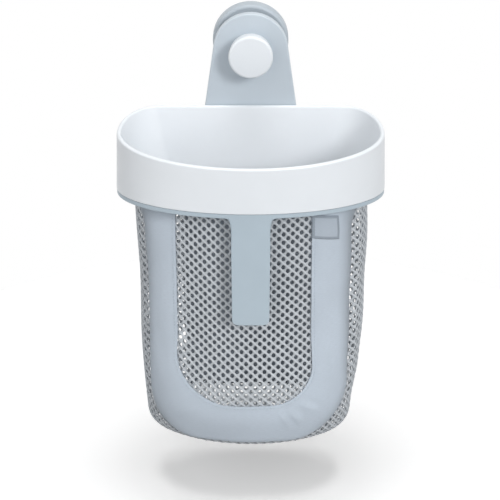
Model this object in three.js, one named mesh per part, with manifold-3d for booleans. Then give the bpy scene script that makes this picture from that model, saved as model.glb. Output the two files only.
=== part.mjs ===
// Bath toy organizer: a scoop with a D-shaped rim and a sewn drain bag, hung on a suction mount.
// Millimetres, +Z up. The wall is the plane y = 0 and the part stands out from it towards -Y.
// The origin is on the wall, on the axis of the knob. A depth is a distance out from the wall.

import * as THREE from 'three';
import { mergeGeometries, mergeVertices } from 'three/addons/utils/BufferGeometryUtils.js';
import Module from 'manifold-3d';

const wasm = await Module();
wasm.setup();

// Clearances
const SEAT_GAP = 0.3; // between pieces that seat on each other
const RUNNING_GAP = 0.4; // around the stud
const SCREW_GAP = 0.35; // around a screw's shank

// Suction cup
const CUP_RADIUS = 31.2;
const CUP_LIP_WIDTH = 8;
const CUP_LIP_THICKNESS = 2.2;
const CUP_WALL = 2.4;
const CUP_VAULT = 4; // height of the vacuum space behind the centre
const CUP_BOSS_RADIUS = 11;

// Housing over the cup, with the hub that the scoop hangs on
const HOUSING_OVERHANG = 2; // how far it reaches past the cup's lip
const HOUSING_DEPTH = 12.3;
const HOUSING_WALL = 2.6;
const HOUSING_ROUND = 3;
const HUB_RADIUS = 14;
const HUB_LENGTH = 14;

// Stud
const STUD_RADIUS = 5;
const STUD_FLANGE_RADIUS = 7.5;
const STUD_FLANGE_THICKNESS = 2.5;
const STUD_CHAMFER = 0.8;

// Knob
const WASHER_RADIUS = 12;
const WASHER_THICKNESS = 1.2;
const KNOB_RADIUS = 19.25;
const KNOB_NECK_RADIUS = 11;
const KNOB_NECK_LENGTH = 6.7;
const KNOB_BODY_DEPTH = 8;
const KNOB_BODY_TAPER = 1; // how much smaller the body is at its back
const CAP_DEPTH = 4.7;
const CAP_ROUND = 3.4;
const CAP_CROWN = 0.5; // how far the face swells at its centre
const CAP_SPIGOT_RADIUS = 13;
const CAP_SPIGOT_WALL = 2;
const CAP_SPIGOT_LENGTH = 2.6;
const NUT_SIDES = 6;
const NUT_ACROSS_FLATS = 15;
const NUT_THICKNESS = 6;

// Hanger plate
const PLATE_RADIUS = 32.4; // round top, about the stud
const PLATE_FLARE_DEGREES = 8;
const PLATE_OVERRUN = 4.9; // below the rim's lower edge at the back
const PLATE_CORNER = 8;
const PLATE_DEPTH = 6.4;
const PLATE_SKIN = 2.6;
const PLATE_FLANGE = 2.6;
const PLATE_BEVEL = 1;
const PLATE_BOSS_RADIUS = 13;
const PLATE_RIB_WIDTH = 2;
const PLATE_RIB_SPACING = 16;

// Screws through the plate into the back of the rim
const SCREW_RADIUS = 1.5;
const SCREW_HEAD_RADIUS = 3.2;
const SCREW_HEAD_TOP_RADIUS = 2.5;
const SCREW_HEAD_HEIGHT = 2.2;
const SCREW_LENGTH = 7.4;
const SCREW_SPREAD = 58;
const SCREW_EDGE = 11; // from the plate's lower edge up to the lower row
const SCREW_ROW_PITCH = 21;

// Rim collar: half an ellipse in front, elliptical corners and a flat back
const RIM_HALF_WIDTH = 115.8;
const RIM_FRONT = 81; // from the widest place to the front
const RIM_CORNER_DEPTH = 58; // from the back to the widest place
const RIM_CORNER_WIDTH = 36;
const RIM_TOP = 53.4; // top edge at the front, below the stud
const RIM_TILT = 0.021; // the top edge rises by this much for each millimetre back
const RIM_FRONT_HEIGHT = 40.2;
const RIM_RISE = 0.127; // the lower edge rises by this much for each millimetre forward
const RIM_WALL = 2.4;
const RIM_LIP = 4;
const RIM_DRAFT = 1.4;
const RIM_ROUND = 1.4; // chamfer of the lower edge
const RIM_CREST = 9; // solid depth of the lip, above the hollow between the walls
const RIM_INNER_DROP = 6; // how far the inner wall reaches below the outer one

// Bag ring with its grip tab
const RING_WALL = 2.2;
const RING_RISE = 4; // above the rim's lower edge
const RING_BAND = 4; // depth of its outer lip, below the rim's lower edge
const RING_INSET = 0.4; // the lip stands this far inside the rim's outer face
const TAB_LENGTH = 99.8; // from the ring's lower edge
const TAB_ROOT = 3; // how far the tab overlaps the ring's lip
const TAB_TOP_WIDTH = 33.2;
const TAB_BOTTOM_WIDTH = 32;
const TAB_FILLET = 5;
const TAB_CORNER = 5;

// Bag
const HEM_THICKNESS = 1.2;
const HEM_RISE = 5;
const HEM_DROP = 7;
const BAG_THICKNESS = 1;
const BAG_TOP = { halfWidth: 100.6, front: 66.5, cornerDepth: 45, cornerWidth: 30 };
const BAG_BASE = { halfWidth: 93.5, front: 62, cornerDepth: 42, cornerWidth: 28 };
const BAG_TAPER_POWER = 2.6; // the sides stay wide and draw in near the bottom
const BAG_BOTTOM = 333.2; // below the stud
const BAG_EDGE = 14; // rounding between the walls and the bottom
const PANEL_CENTRE = -2; // the sewn front sits a little to the left on its ring
const PANEL_HALF_WIDTH = 88;
const PANEL_CORNER = 24;
const PANEL_OVERRUN = 5; // the panel's outline runs this far past the wall's lower edge
const WINDOW_CENTRE = -5.5;
const WINDOW_HALF_WIDTH = 57;
const WINDOW_BOTTOM = 289; // below the stud
const WINDOW_CORNER = 27;
const BACK_PANEL_HALF_WIDTH = 62;
const NET_PITCH = 28;
const NET_GAP = 19.2; // corner to corner
const NET_MARGIN = 2.5; // solid selvage along the edges of a net
const NET_CUT = 6; // depth of a gap's cut, through the curved wall
const PATCH_WIDTH = 22;
const PATCH_HEIGHT = 21.3;
const PATCH_CENTRE = 63;
const PATCH_DROP = 1.8; // below the wall's top at the patch's inner end
const PATCH_SLANT = 0.265; // its edges fall by this much for each millimetre outwards
const PATCH_THICKNESS = 0.7;

// Fineness
const ROUND_SEGMENTS = 32;
const SMALL_SEGMENTS = 12;
const ARC_STEPS = 4;
const RIM_STEPS = { backSteps: 2, cornerSteps: 6, frontSteps: 24 };
const BAG_STEPS = { backSteps: 1, cornerSteps: 4, frontSteps: 14 };
const WALL_ROWS = 4;
const EDGE_ROWS = 3;

// Depths along the stud, from the wall outwards
const housingBack = CUP_LIP_THICKNESS + SEAT_GAP;
const housingFront = housingBack + HOUSING_DEPTH;
const housingCeiling = housingFront - HOUSING_WALL;
const hubFront = housingFront + HUB_LENGTH;
const plateBack = hubFront + SEAT_GAP;
const plateFront = plateBack + PLATE_DEPTH;
const plateSkinBack = plateFront - PLATE_SKIN;
const washerBack = plateFront + SEAT_GAP;
const knobBack = washerBack + WASHER_THICKNESS + SEAT_GAP;
const knobHeadBack = knobBack + KNOB_NECK_LENGTH;
const knobFront = knobHeadBack + KNOB_BODY_DEPTH;
const capBack = knobFront + SEAT_GAP;
const capFront = capBack + CAP_DEPTH;
const nutFront = knobFront - SEAT_GAP;
const nutBack = nutFront - NUT_THICKNESS;
const flangeBack = CUP_VAULT + CUP_WALL + SEAT_GAP;
const flangeFront = flangeBack + STUD_FLANGE_THICKNESS;
const studFront = nutFront;

// Depths of the scoop
const rimBack = plateFront + SEAT_GAP;
const widest = rimBack + RIM_CORNER_DEPTH;
const rimFront = widest + RIM_FRONT;
const plateLength = PLATE_OVERRUN - rimEdge(rimBack); // from the stud down to the lower edge
const ringOuter = SEAT_GAP + RING_WALL; // outside the hem
const wallBottom = -BAG_BOTTOM + BAG_EDGE;

const materials = {
  softCup: { color: 0xaab5bd, roughness: 0.45, metalness: 0 },
  greyPlastic: { color: 0xb7c3cd, roughness: 0.5, metalness: 0 },
  whitePlastic: { color: 0xf0f0ef, roughness: 0.35, metalness: 0 },
  steel: { color: 0xb9bcc0, roughness: 0.35, metalness: 1 },
  brass: { color: 0xb8964f, roughness: 0.4, metalness: 1 },
  nylon: { color: 0xe6e4de, roughness: 0.55, metalness: 0 },
  fabric: { color: 0xb6c1cd, roughness: 0.9, metalness: 0 },
  netting: { color: 0xd2d7dc, roughness: 0.85, metalness: 0 },
};

// A geometry with only merged positions, turned so that its faces point out.
function closed(geometry) {
  const bare = geometry.clone();
  bare.deleteAttribute('normal');
  bare.deleteAttribute('uv');
  const merged = mergeVertices(bare, 1e-4);
  const index = merged.index.array;
  const corner = (k) => new THREE.Vector3().fromBufferAttribute(merged.attributes.position, index[k]);
  let volume = 0;
  for (let k = 0; k < index.length; k += 3) {
    volume += corner(k).dot(corner(k + 1).cross(corner(k + 2)));
  }
  if (volume < 0) {
    for (let k = 0; k < index.length; k += 3) {
      [index[k], index[k + 1]] = [index[k + 1], index[k]];
    }
  }
  return merged;
}

function solid(geometry) {
  const bare = closed(geometry);
  const vertProperties = new Float32Array(bare.attributes.position.array);
  const triVerts = new Uint32Array(bare.index.array);
  return new wasm.Manifold(new wasm.Mesh({ numProp: 3, vertProperties, triVerts }));
}

function geometryOf(body) {
  const { vertProperties, triVerts } = body.getMesh();
  const geometry = new THREE.BufferGeometry();
  geometry.setAttribute('position', new THREE.BufferAttribute(vertProperties, 3));
  geometry.setIndex(new THREE.BufferAttribute(triVerts, 1));
  return geometry;
}

function piece(name, material, body) {
  const geometry = body.isBufferGeometry ? closed(body) : geometryOf(body);
  const mesh = new THREE.Mesh(geometry, new THREE.MeshStandardMaterial(materials[material]));
  mesh.name = name;
  return mesh;
}

// A profile of [radius, depth] points turned about the stud's axis.
function revolved(profile, segments = ROUND_SEGMENTS) {
  const points = profile.map(([radius, depth]) => new THREE.Vector2(radius, -depth));
  return new THREE.LatheGeometry(points, segments);
}

// A shape drawn in x and z, carried from one depth to another.
function carried(shape, fromDepth, toDepth, curveSegments = ARC_STEPS) {
  const geometry = new THREE.ExtrudeGeometry(shape, {
    depth: toDepth - fromDepth,
    bevelEnabled: false,
    curveSegments,
  });
  return geometry.translate(0, 0, fromDepth).rotateX(Math.PI / 2);
}

function box(xFrom, xTo, depthFrom, depthTo, zFrom, zTo) {
  const geometry = new THREE.BoxGeometry(xTo - xFrom, depthTo - depthFrom, zTo - zFrom);
  return geometry.translate((xFrom + xTo) / 2, -(depthFrom + depthTo) / 2, (zFrom + zTo) / 2);
}

function rod(x, z, radius, fromDepth, toDepth, segments = SMALL_SEGMENTS) {
  const geometry = new THREE.CylinderGeometry(radius, radius, toDepth - fromDepth, segments);
  return geometry.translate(x, -(fromDepth + toDepth) / 2, z);
}

// A quarter round from angle a to angle b, in degrees, as [radius, depth] points.
function roundOff(centreRadius, centreDepth, radius, a, b) {
  return Array.from({ length: ARC_STEPS + 1 }, (_, k) => {
    const angle = THREE.MathUtils.degToRad(a + ((b - a) * k) / ARC_STEPS);
    return [centreRadius + radius * Math.cos(angle), centreDepth + radius * Math.sin(angle)];
  });
}

// A shallow dome from the axis out to a radius, as [radius, depth] points, by its depths at both ends.
function dome(radius, centreDepth, edgeDepth) {
  return Array.from({ length: ARC_STEPS }, (_, k) => {
    const share = k / ARC_STEPS;
    return [radius * share, centreDepth + (edgeDepth - centreDepth) * share ** 2];
  });
}

// Skin through rows of equally many points. It closes on itself, or ends in a fan at each end row.
function lofted(rows, loop) {
  const count = rows[0].length;
  const positions = rows.flat().flatMap((point) => point.toArray());
  const triangles = [];
  const links = loop ? rows.length : rows.length - 1;
  for (let r = 0; r < links; r += 1) {
    const here = r * count;
    const next = ((r + 1) % rows.length) * count;
    for (let k = 0; k < count; k += 1) {
      const after = (k + 1) % count;
      triangles.push(here + k, here + after, next + k, here + after, next + after, next + k);
    }
  }
  const fan = (row, flip) => {
    const middle = rows[row].reduce((sum, point) => sum.add(point), new THREE.Vector3());
    positions.push(...middle.divideScalar(count).toArray());
    const hub = positions.length / 3 - 1;
    for (let k = 0; k < count; k += 1) {
      const edge = [row * count + k, row * count + ((k + 1) % count)];
      triangles.push(hub, ...(flip ? edge.reverse() : edge));
    }
  };
  if (!loop) {
    fan(0, true);
    fan(rows.length - 1, false);
  }
  const geometry = new THREE.BufferGeometry();
  geometry.setAttribute('position', new THREE.Float32BufferAttribute(positions, 3));
  geometry.setIndex(triangles);
  return geometry;
}

// Stations around a D: x, depth and the outward normal, from the middle of the flat back round.
function stationsOf({ halfWidth, front, cornerDepth, cornerWidth }, { backSteps, cornerSteps, frontSteps }) {
  const flat = halfWidth - cornerWidth;
  const back = widest - cornerDepth;
  const stations = [];
  const add = (x, depth, nx, nd) => {
    const length = Math.hypot(nx, nd);
    stations.push({ x, depth, nx: nx / length, nd: nd / length });
  };
  const arc = (count, place) => {
    for (let k = 0; k < count; k += 1) place(k / count);
  };
  arc(backSteps, (s) => add(flat * s, back, 0, -1));
  arc(cornerSteps, (s) => {
    const a = (s * Math.PI) / 2;
    const [x, depth] = [flat + cornerWidth * Math.sin(a), widest - cornerDepth * Math.cos(a)];
    add(x, depth, Math.sin(a) / cornerWidth, -Math.cos(a) / cornerDepth);
  });
  arc(frontSteps, (s) => {
    const a = s * Math.PI;
    add(halfWidth * Math.cos(a), widest + front * Math.sin(a), Math.cos(a) / halfWidth, Math.sin(a) / front);
  });
  arc(cornerSteps, (s) => {
    const a = (s * Math.PI) / 2;
    const [x, depth] = [-flat - cornerWidth * Math.cos(a), widest - cornerDepth * Math.sin(a)];
    add(x, depth, -Math.cos(a) / cornerWidth, -Math.sin(a) / cornerDepth);
  });
  arc(backSteps, (s) => add(-flat * (1 - s), back, 0, -1));
  return stations;
}

// The point at an offset outside a station, at a height that may depend on its depth.
function outside(station, offset, heightAt) {
  const depth = station.depth + offset * station.nd;
  return new THREE.Vector3(station.x + offset * station.nx, -depth, heightAt(depth));
}

const rimStations = stationsOf({
  halfWidth: RIM_HALF_WIDTH,
  front: RIM_FRONT,
  cornerDepth: RIM_CORNER_DEPTH,
  cornerWidth: RIM_CORNER_WIDTH,
}, RIM_STEPS);
const hemStations = stationsOf(BAG_TOP, RIM_STEPS);

// Height of the rim's top edge, which falls towards the front.
function rimTop(depth) {
  return -RIM_TOP + RIM_TILT * (rimFront - depth);
}

// Height of the rim's lower edge, which slopes with depth.
function rimEdge(depth) {
  return -(RIM_TOP + RIM_FRONT_HEIGHT) - RIM_RISE * (rimFront - depth);
}

// A row of points around the rim or the hem, at a height over the rim's lower edge.
function rowOver(stations, offset, height) {
  return stations.map((s) => outside(s, offset, (depth) => rimEdge(depth) + height));
}

// A ring around the hem, from [offset, height over the rim's lower edge] corners.
function hemRing(corners) {
  return lofted(corners.map(([offset, height]) => rowOver(hemStations, offset, height)), true);
}

// Share of the way down the bag's walls, eased, and the D at that place.
function bagOutline(share) {
  const ease = share ** BAG_TAPER_POWER;
  const mixed = (key) => THREE.MathUtils.lerp(BAG_TOP[key], BAG_BASE[key], ease);
  return {
    halfWidth: mixed('halfWidth'),
    front: mixed('front'),
    cornerDepth: mixed('cornerDepth'),
    cornerWidth: mixed('cornerWidth'),
  };
}

function wallTop(depth) {
  return rimEdge(depth) - HEM_DROP - SEAT_GAP;
}

// The bag's walls as one closed band between two offsets from the outline.
function bagWall(outer, inner) {
  const tops = stationsOf(BAG_TOP, BAG_STEPS).map((station) => wallTop(station.depth));
  const row = (offset) => (share) =>
    stationsOf(bagOutline(share), BAG_STEPS).map((station, k) => {
      const z = THREE.MathUtils.lerp(tops[k], wallBottom, share);
      return outside(station, offset, () => z);
    });
  const shares = Array.from({ length: WALL_ROWS + 1 }, (_, k) => k / WALL_ROWS);
  return lofted([...shares.map(row(outer)), ...shares.reverse().map(row(inner))], true);
}

// Round-cornered outline in x and z: straight down from far above, closed by two corners below.
function pocketShape(centre, halfWidth, bottom, corner) {
  const [left, right] = [centre - halfWidth, centre + halfWidth];
  const shape = new THREE.Shape();
  shape.moveTo(left, 0);
  shape.lineTo(left, bottom + corner);
  shape.absarc(left + corner, bottom + corner, corner, Math.PI, 1.5 * Math.PI, false);
  shape.absarc(right - corner, bottom + corner, corner, 1.5 * Math.PI, 2 * Math.PI, false);
  shape.lineTo(right, 0);
  shape.closePath();
  return shape;
}

function panelShape(grow) {
  const bottom = wallBottom - PANEL_OVERRUN - grow;
  return pocketShape(PANEL_CENTRE, PANEL_HALF_WIDTH + grow, bottom, PANEL_CORNER + grow);
}

function windowShape(grow) {
  return pocketShape(WINDOW_CENTRE, WINDOW_HALF_WIDTH + grow, -WINDOW_BOTTOM - grow, WINDOW_CORNER + grow);
}

// A solid that takes everything in front of the widest place and inside a shape.
function frontCutter(shape) {
  return solid(carried(shape, widest, rimFront));
}

function backCutter(grow) {
  const half = BACK_PANEL_HALF_WIDTH + grow;
  return solid(box(-half, half, rimBack, widest, -BAG_BOTTOM, 0));
}

function sideCutter(side) {
  const reach = RIM_HALF_WIDTH;
  const [from, to] = side < 0 ? [-reach, 0] : [0, reach];
  return solid(box(from, to, rimBack, rimFront, -BAG_BOTTOM, 0));
}

function contains(outline, x, z) {
  let inside = false;
  outline.forEach((a, k) => {
    const b = outline[(k + 1) % outline.length];
    const crosses = a.y > z !== b.y > z;
    if (crosses && x < ((b.x - a.x) * (z - a.y)) / (b.y - a.y) + a.x) inside = !inside;
  });
  return inside;
}

// Points at even steps along the bag's outline at one height, counted from the middle of the front.
function rowAlong(z, stagger) {
  const top = wallTop(widest);
  const share = THREE.MathUtils.clamp((top - z) / (top - wallBottom), 0, 1);
  const stations = stationsOf(bagOutline(share), BAG_STEPS);
  const start = stations.reduce((best, { depth }, k) => (depth > stations[best].depth ? k : best), 0);
  const walk = (direction) => {
    const places = [];
    let wanted = stagger;
    let travelled = 0;
    for (let k = 0; k < stations.length / 2; k += 1) {
      const count = stations.length;
      const a = stations[(start + direction * k + count) % count];
      const b = stations[(start + direction * (k + 1) + count) % count];
      const length = Math.hypot(b.x - a.x, b.depth - a.depth);
      while (wanted < travelled + length) {
        const s = (wanted - travelled) / length;
        const mix = (key) => THREE.MathUtils.lerp(a[key], b[key], s);
        places.push({ x: mix('x'), depth: mix('depth'), nx: mix('nx'), nd: mix('nd'), z });
        wanted += NET_PITCH;
      }
      travelled += length;
    }
    return places;
  };
  const left = walk(-1);
  return [...walk(1), ...(stagger === 0 ? left.slice(1) : left)];
}

// Diamond gaps in staggered rows, wherever all four corners lie in the net.
function netGaps(inNet) {
  const reach = NET_GAP / 2 + NET_MARGIN;
  const rowStep = NET_PITCH / 2;
  const gaps = [];
  const top = -RIM_TOP;
  for (let k = 0; top - k * rowStep > wallBottom; k += 1) {
    const z = top - k * rowStep;
    const row = rowAlong(z, k % 2 === 0 ? 0 : NET_PITCH / 2);
    const fits = ({ x, depth, nx, nd }) =>
      [-1, 1].every((s) => inNet(x - s * reach * nd, depth + s * reach * nx, z)) &&
      [-1, 1].every((s) => inNet(x, depth, z + s * reach));
    row.filter(fits).forEach((place) => gaps.push(gapCutter(place)));
  }
  return solid(mergeGeometries(gaps));
}

function gapCutter({ x, depth, nx, nd, z }) {
  const geometry = new THREE.CylinderGeometry(NET_GAP / 2, NET_GAP / 2, NET_CUT, 4);
  const normal = new THREE.Vector3(nx, -nd, 0).normalize();
  const up = new THREE.Vector3(0, 0, 1);
  const turn = new THREE.Matrix4().makeBasis(up, normal, new THREE.Vector3().crossVectors(up, normal));
  return geometry.applyMatrix4(turn).translate(x, -depth, z);
}

function suctionCup() {
  const lipInner = CUP_RADIUS - CUP_LIP_WIDTH;
  const bossFront = housingCeiling - SEAT_GAP;
  const bore = STUD_RADIUS + SEAT_GAP;
  const pocket = STUD_FLANGE_RADIUS + SEAT_GAP;
  return piece('suction_cup', 'softCup', revolved([
    ...dome(lipInner, CUP_VAULT, 0),
    [lipInner, 0],
    [CUP_RADIUS, 0],
    [CUP_RADIUS, CUP_LIP_THICKNESS],
    [lipInner, CUP_LIP_THICKNESS],
    [CUP_BOSS_RADIUS, CUP_VAULT + CUP_WALL],
    [CUP_BOSS_RADIUS, bossFront],
    [bore, bossFront],
    [bore, flangeFront + SEAT_GAP],
    [pocket, flangeFront + SEAT_GAP],
    [pocket, flangeBack - SEAT_GAP],
    [0, flangeBack - SEAT_GAP],
  ]));
}

function mountHousing() {
  const radius = CUP_RADIUS + HOUSING_OVERHANG;
  const bore = STUD_RADIUS + RUNNING_GAP;
  const profile = [
    [radius - HOUSING_WALL, housingBack],
    [radius, housingBack],
    ...roundOff(radius - HOUSING_ROUND, housingFront - HOUSING_ROUND, HOUSING_ROUND, 0, 90),
    [HUB_RADIUS, housingFront],
    [HUB_RADIUS, hubFront],
    [bore, hubFront],
    [bore, housingCeiling],
    [radius - HOUSING_WALL, housingCeiling],
  ];
  return piece('mount_housing', 'greyPlastic', revolved([...profile, profile[0]]));
}

function suctionStud() {
  return piece('suction_stud', 'steel', revolved([
    [0, flangeBack],
    [STUD_FLANGE_RADIUS, flangeBack],
    [STUD_FLANGE_RADIUS, flangeFront],
    [STUD_RADIUS, flangeFront],
    [STUD_RADIUS, studFront - STUD_CHAMFER],
    [STUD_RADIUS - STUD_CHAMFER, studFront],
    [0, studFront],
  ], SMALL_SEGMENTS * 2));
}

function thrustWasher() {
  const bore = STUD_RADIUS + RUNNING_GAP;
  const front = washerBack + WASHER_THICKNESS;
  const profile = [[bore, washerBack], [WASHER_RADIUS, washerBack], [WASHER_RADIUS, front], [bore, front]];
  return piece('thrust_washer', 'nylon', revolved([...profile, profile[0]], SMALL_SEGMENTS * 2));
}

function nutShape(acrossFlats) {
  const radius = acrossFlats / 2 / Math.cos(Math.PI / NUT_SIDES);
  const corner = (_, k) => {
    const angle = (k * 2 * Math.PI) / NUT_SIDES;
    return new THREE.Vector2(radius * Math.cos(angle), radius * Math.sin(angle));
  };
  return new THREE.Shape(Array.from({ length: NUT_SIDES }, corner));
}

function knobBody() {
  const bore = STUD_RADIUS + RUNNING_GAP;
  const grooveOuter = CAP_SPIGOT_RADIUS + SEAT_GAP;
  const grooveInner = CAP_SPIGOT_RADIUS - CAP_SPIGOT_WALL - SEAT_GAP;
  const grooveFloor = knobFront - CAP_SPIGOT_LENGTH - SEAT_GAP;
  const profile = [
    [bore, knobBack],
    [KNOB_NECK_RADIUS, knobBack],
    [KNOB_NECK_RADIUS, knobHeadBack],
    [KNOB_RADIUS - KNOB_BODY_TAPER, knobHeadBack],
    [KNOB_RADIUS, knobFront],
    [grooveOuter, knobFront],
    [grooveOuter, grooveFloor],
    [grooveInner, grooveFloor],
    [grooveInner, knobFront],
    [bore, knobFront],
  ];
  const turned = solid(revolved([...profile, profile[0]]));
  const nutPocket = carried(nutShape(NUT_ACROSS_FLATS + 2 * SEAT_GAP), nutBack - SEAT_GAP, capBack);
  return piece('knob_body', 'whitePlastic', turned.subtract(solid(nutPocket)));
}

function knobNut() {
  const hole = rod(0, 0, STUD_RADIUS + RUNNING_GAP, nutBack - SEAT_GAP, nutFront + SEAT_GAP, ROUND_SEGMENTS);
  const blank = solid(carried(nutShape(NUT_ACROSS_FLATS), nutBack, nutFront));
  return piece('knob_nut', 'brass', blank.subtract(solid(hole)));
}

function knobCap() {
  const spigotBack = capBack - CAP_SPIGOT_LENGTH;
  const spigotInner = CAP_SPIGOT_RADIUS - CAP_SPIGOT_WALL;
  const roundCentre = [KNOB_RADIUS - CAP_ROUND, capFront - CAP_CROWN - CAP_ROUND];
  return piece('knob_cap', 'whitePlastic', revolved([
    [0, capBack],
    [spigotInner, capBack],
    [spigotInner, spigotBack],
    [CAP_SPIGOT_RADIUS, spigotBack],
    [CAP_SPIGOT_RADIUS, capBack],
    [KNOB_RADIUS, capBack],
    ...roundOff(...roundCentre, CAP_ROUND, 0, 90),
    ...dome(roundCentre[0], capFront, capFront - CAP_CROWN).reverse(),
  ]));
}

// Outline of the plate, drawn in from its true edge by an inset: round top, flared sides.
function plateShape(inset) {
  const flare = THREE.MathUtils.degToRad(PLATE_FLARE_DEGREES);
  const radius = PLATE_RADIUS - inset;
  const bottom = -plateLength + inset;
  const corner = Math.max(PLATE_CORNER - inset, PLATE_BEVEL);
  const cornerX = (radius - corner - (bottom + corner) * Math.sin(flare)) / Math.cos(flare);
  const shape = new THREE.Shape();
  shape.absarc(0, 0, radius, flare, Math.PI - flare, false);
  shape.absarc(-cornerX, bottom + corner, corner, Math.PI - flare, 1.5 * Math.PI, false);
  shape.absarc(cornerX, bottom + corner, corner, 1.5 * Math.PI, 2 * Math.PI + flare, false);
  shape.closePath();
  return shape;
}

function screwPlaces() {
  const lower = -plateLength + SCREW_EDGE;
  const pair = (z) => [-1, 1].map((side) => [(side * SCREW_SPREAD) / 2, z]);
  return [...pair(lower + SCREW_ROW_PITCH), ...pair(lower)];
}

function hangerPlate() {
  const blank = solid(carried(plateShape(0), plateBack, plateFront - PLATE_BEVEL, ARC_STEPS * 2));
  const face = lofted([
    plateRow(0, plateFront - PLATE_BEVEL),
    plateRow(PLATE_BEVEL, plateFront),
  ], false);
  const pocket = carried(plateShape(PLATE_FLANGE), plateBack - SEAT_GAP, plateSkinBack);
  const boss = rod(0, 0, PLATE_BOSS_RADIUS, plateBack, plateFront - PLATE_BEVEL, ROUND_SEGMENTS);
  const bore = rod(0, 0, STUD_RADIUS + RUNNING_GAP, plateBack - SEAT_GAP, plateFront + SEAT_GAP);
  let plate = blank.add(solid(face)).subtract(solid(pocket)).add(solid(boss));
  [-1, 1].forEach((side) => {
    const x = (side * PLATE_RIB_SPACING) / 2;
    const half = PLATE_RIB_WIDTH / 2;
    const rib = box(x - half, x + half, plateBack, plateSkinBack, -plateLength, 0);
    plate = plate.add(solid(rib).intersect(blank));
  });
  plate = plate.subtract(solid(bore));
  screwPlaces().forEach(([x, z]) => {
    const hole = rod(x, z, SCREW_RADIUS + SCREW_GAP, plateBack, plateFront + SEAT_GAP);
    plate = plate.subtract(solid(hole));
  });
  return piece('hanger_plate', 'greyPlastic', plate);
}

function plateRow(inset, depth) {
  const points = plateShape(inset).getPoints(ARC_STEPS * 2);
  const last = points[points.length - 1];
  if (last.distanceTo(points[0]) < 1e-6) points.pop();
  return points.map(({ x, y }) => new THREE.Vector3(x, -depth, y));
}

function plateScrews() {
  const headFront = plateSkinBack - SEAT_GAP;
  const headBack = headFront - SCREW_HEAD_HEIGHT;
  return screwPlaces().map(([x, z], k) => {
    const profile = [
      [0, headBack],
      [SCREW_HEAD_TOP_RADIUS, headBack],
      [SCREW_HEAD_RADIUS, headBack + SCREW_HEAD_HEIGHT / 2],
      [SCREW_HEAD_RADIUS, headFront],
      [SCREW_RADIUS, headFront],
      [SCREW_RADIUS, headFront + SCREW_LENGTH - SCREW_RADIUS],
      [0, headFront + SCREW_LENGTH],
    ];
    const screw = piece(`plate_screw_${k + 1}`, 'steel', revolved(profile, SMALL_SEGMENTS));
    screw.position.set(x, 0, z);
    return screw;
  });
}

// The rim's section is a hollow double wall: lip, funnel-shaped inner wall, outer wall, turned-in edge.
function rimCollar() {
  const below = (offset, drop) => rimStations.map((s) => outside(s, offset, (depth) => rimTop(depth) - drop));
  const onRim = (offset, height) => rowOver(rimStations, offset, height);
  const onHem = (offset, height) => rowOver(hemStations, offset, height);
  const innerFace = -HEM_THICKNESS - SEAT_GAP - RIM_WALL;
  const half = RIM_LIP / 2;
  const shoulder = half * (1 - Math.SQRT1_2);
  const rows = [
    below(-RIM_DRAFT, half),
    below(-RIM_DRAFT - shoulder, shoulder),
    below(-RIM_DRAFT - half, 0),
    below(-RIM_DRAFT - RIM_LIP + shoulder, shoulder),
    below(-RIM_DRAFT - RIM_LIP, half),
    onHem(innerFace, HEM_RISE + RIM_WALL),
    onHem(innerFace, -RIM_INNER_DROP),
    onHem(innerFace + RIM_WALL, -RIM_INNER_DROP),
    onHem(innerFace + RIM_WALL, HEM_RISE + SEAT_GAP),
    below(-RIM_DRAFT - RIM_LIP, RIM_CREST),
    below(-RIM_DRAFT - RIM_WALL, RIM_CREST),
    onRim(-RIM_WALL, RIM_WALL),
    onHem(ringOuter + SEAT_GAP, RIM_WALL),
    onHem(ringOuter + SEAT_GAP, 0),
    onRim(-RIM_ROUND, 0),
    onRim(0, RIM_ROUND),
  ];
  let collar = solid(lofted(rows, true));
  screwPlaces().forEach(([x, z]) => {
    const hole = rod(x, z, SCREW_RADIUS + SCREW_GAP, plateFront, rimBack + RIM_DRAFT + RIM_WALL + SEAT_GAP);
    collar = collar.subtract(solid(hole));
  });
  return piece('rim_collar', 'whitePlastic', collar);
}

// The ring holds the hem against the rim's inner wall. The grip tab hangs from its front, flush with it.
function bagRing() {
  const webTop = -SEAT_GAP;
  const webBottom = webTop - RING_WALL;
  const lipInner = -RING_INSET - RING_WALL;
  const tabReach = RING_BAND + TAB_LENGTH + TAB_FILLET;
  const onRim = (offset, height) => rowOver(rimStations, offset, height);
  const onHem = (offset, height) => rowOver(hemStations, offset, height);
  const channel = lofted([
    onHem(SEAT_GAP, RING_RISE),
    onHem(ringOuter, RING_RISE),
    onHem(ringOuter, webTop),
    onRim(-RING_INSET, webTop),
    onRim(-RING_INSET, -RING_BAND),
    onRim(lipInner, -RING_BAND),
    onRim(lipInner, webBottom),
    onHem(SEAT_GAP, webBottom),
  ], true);
  const skirt = lofted([
    onRim(-RING_INSET, webTop),
    onRim(-RING_INSET, -tabReach),
    onRim(lipInner, -tabReach),
    onRim(lipInner, webTop),
  ], true);
  const tab = solid(skirt).intersect(frontCutter(tabShape(rimEdge(rimFront - RING_INSET) - RING_BAND)));
  return piece('bag_ring', 'greyPlastic', solid(channel).add(tab));
}

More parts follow.
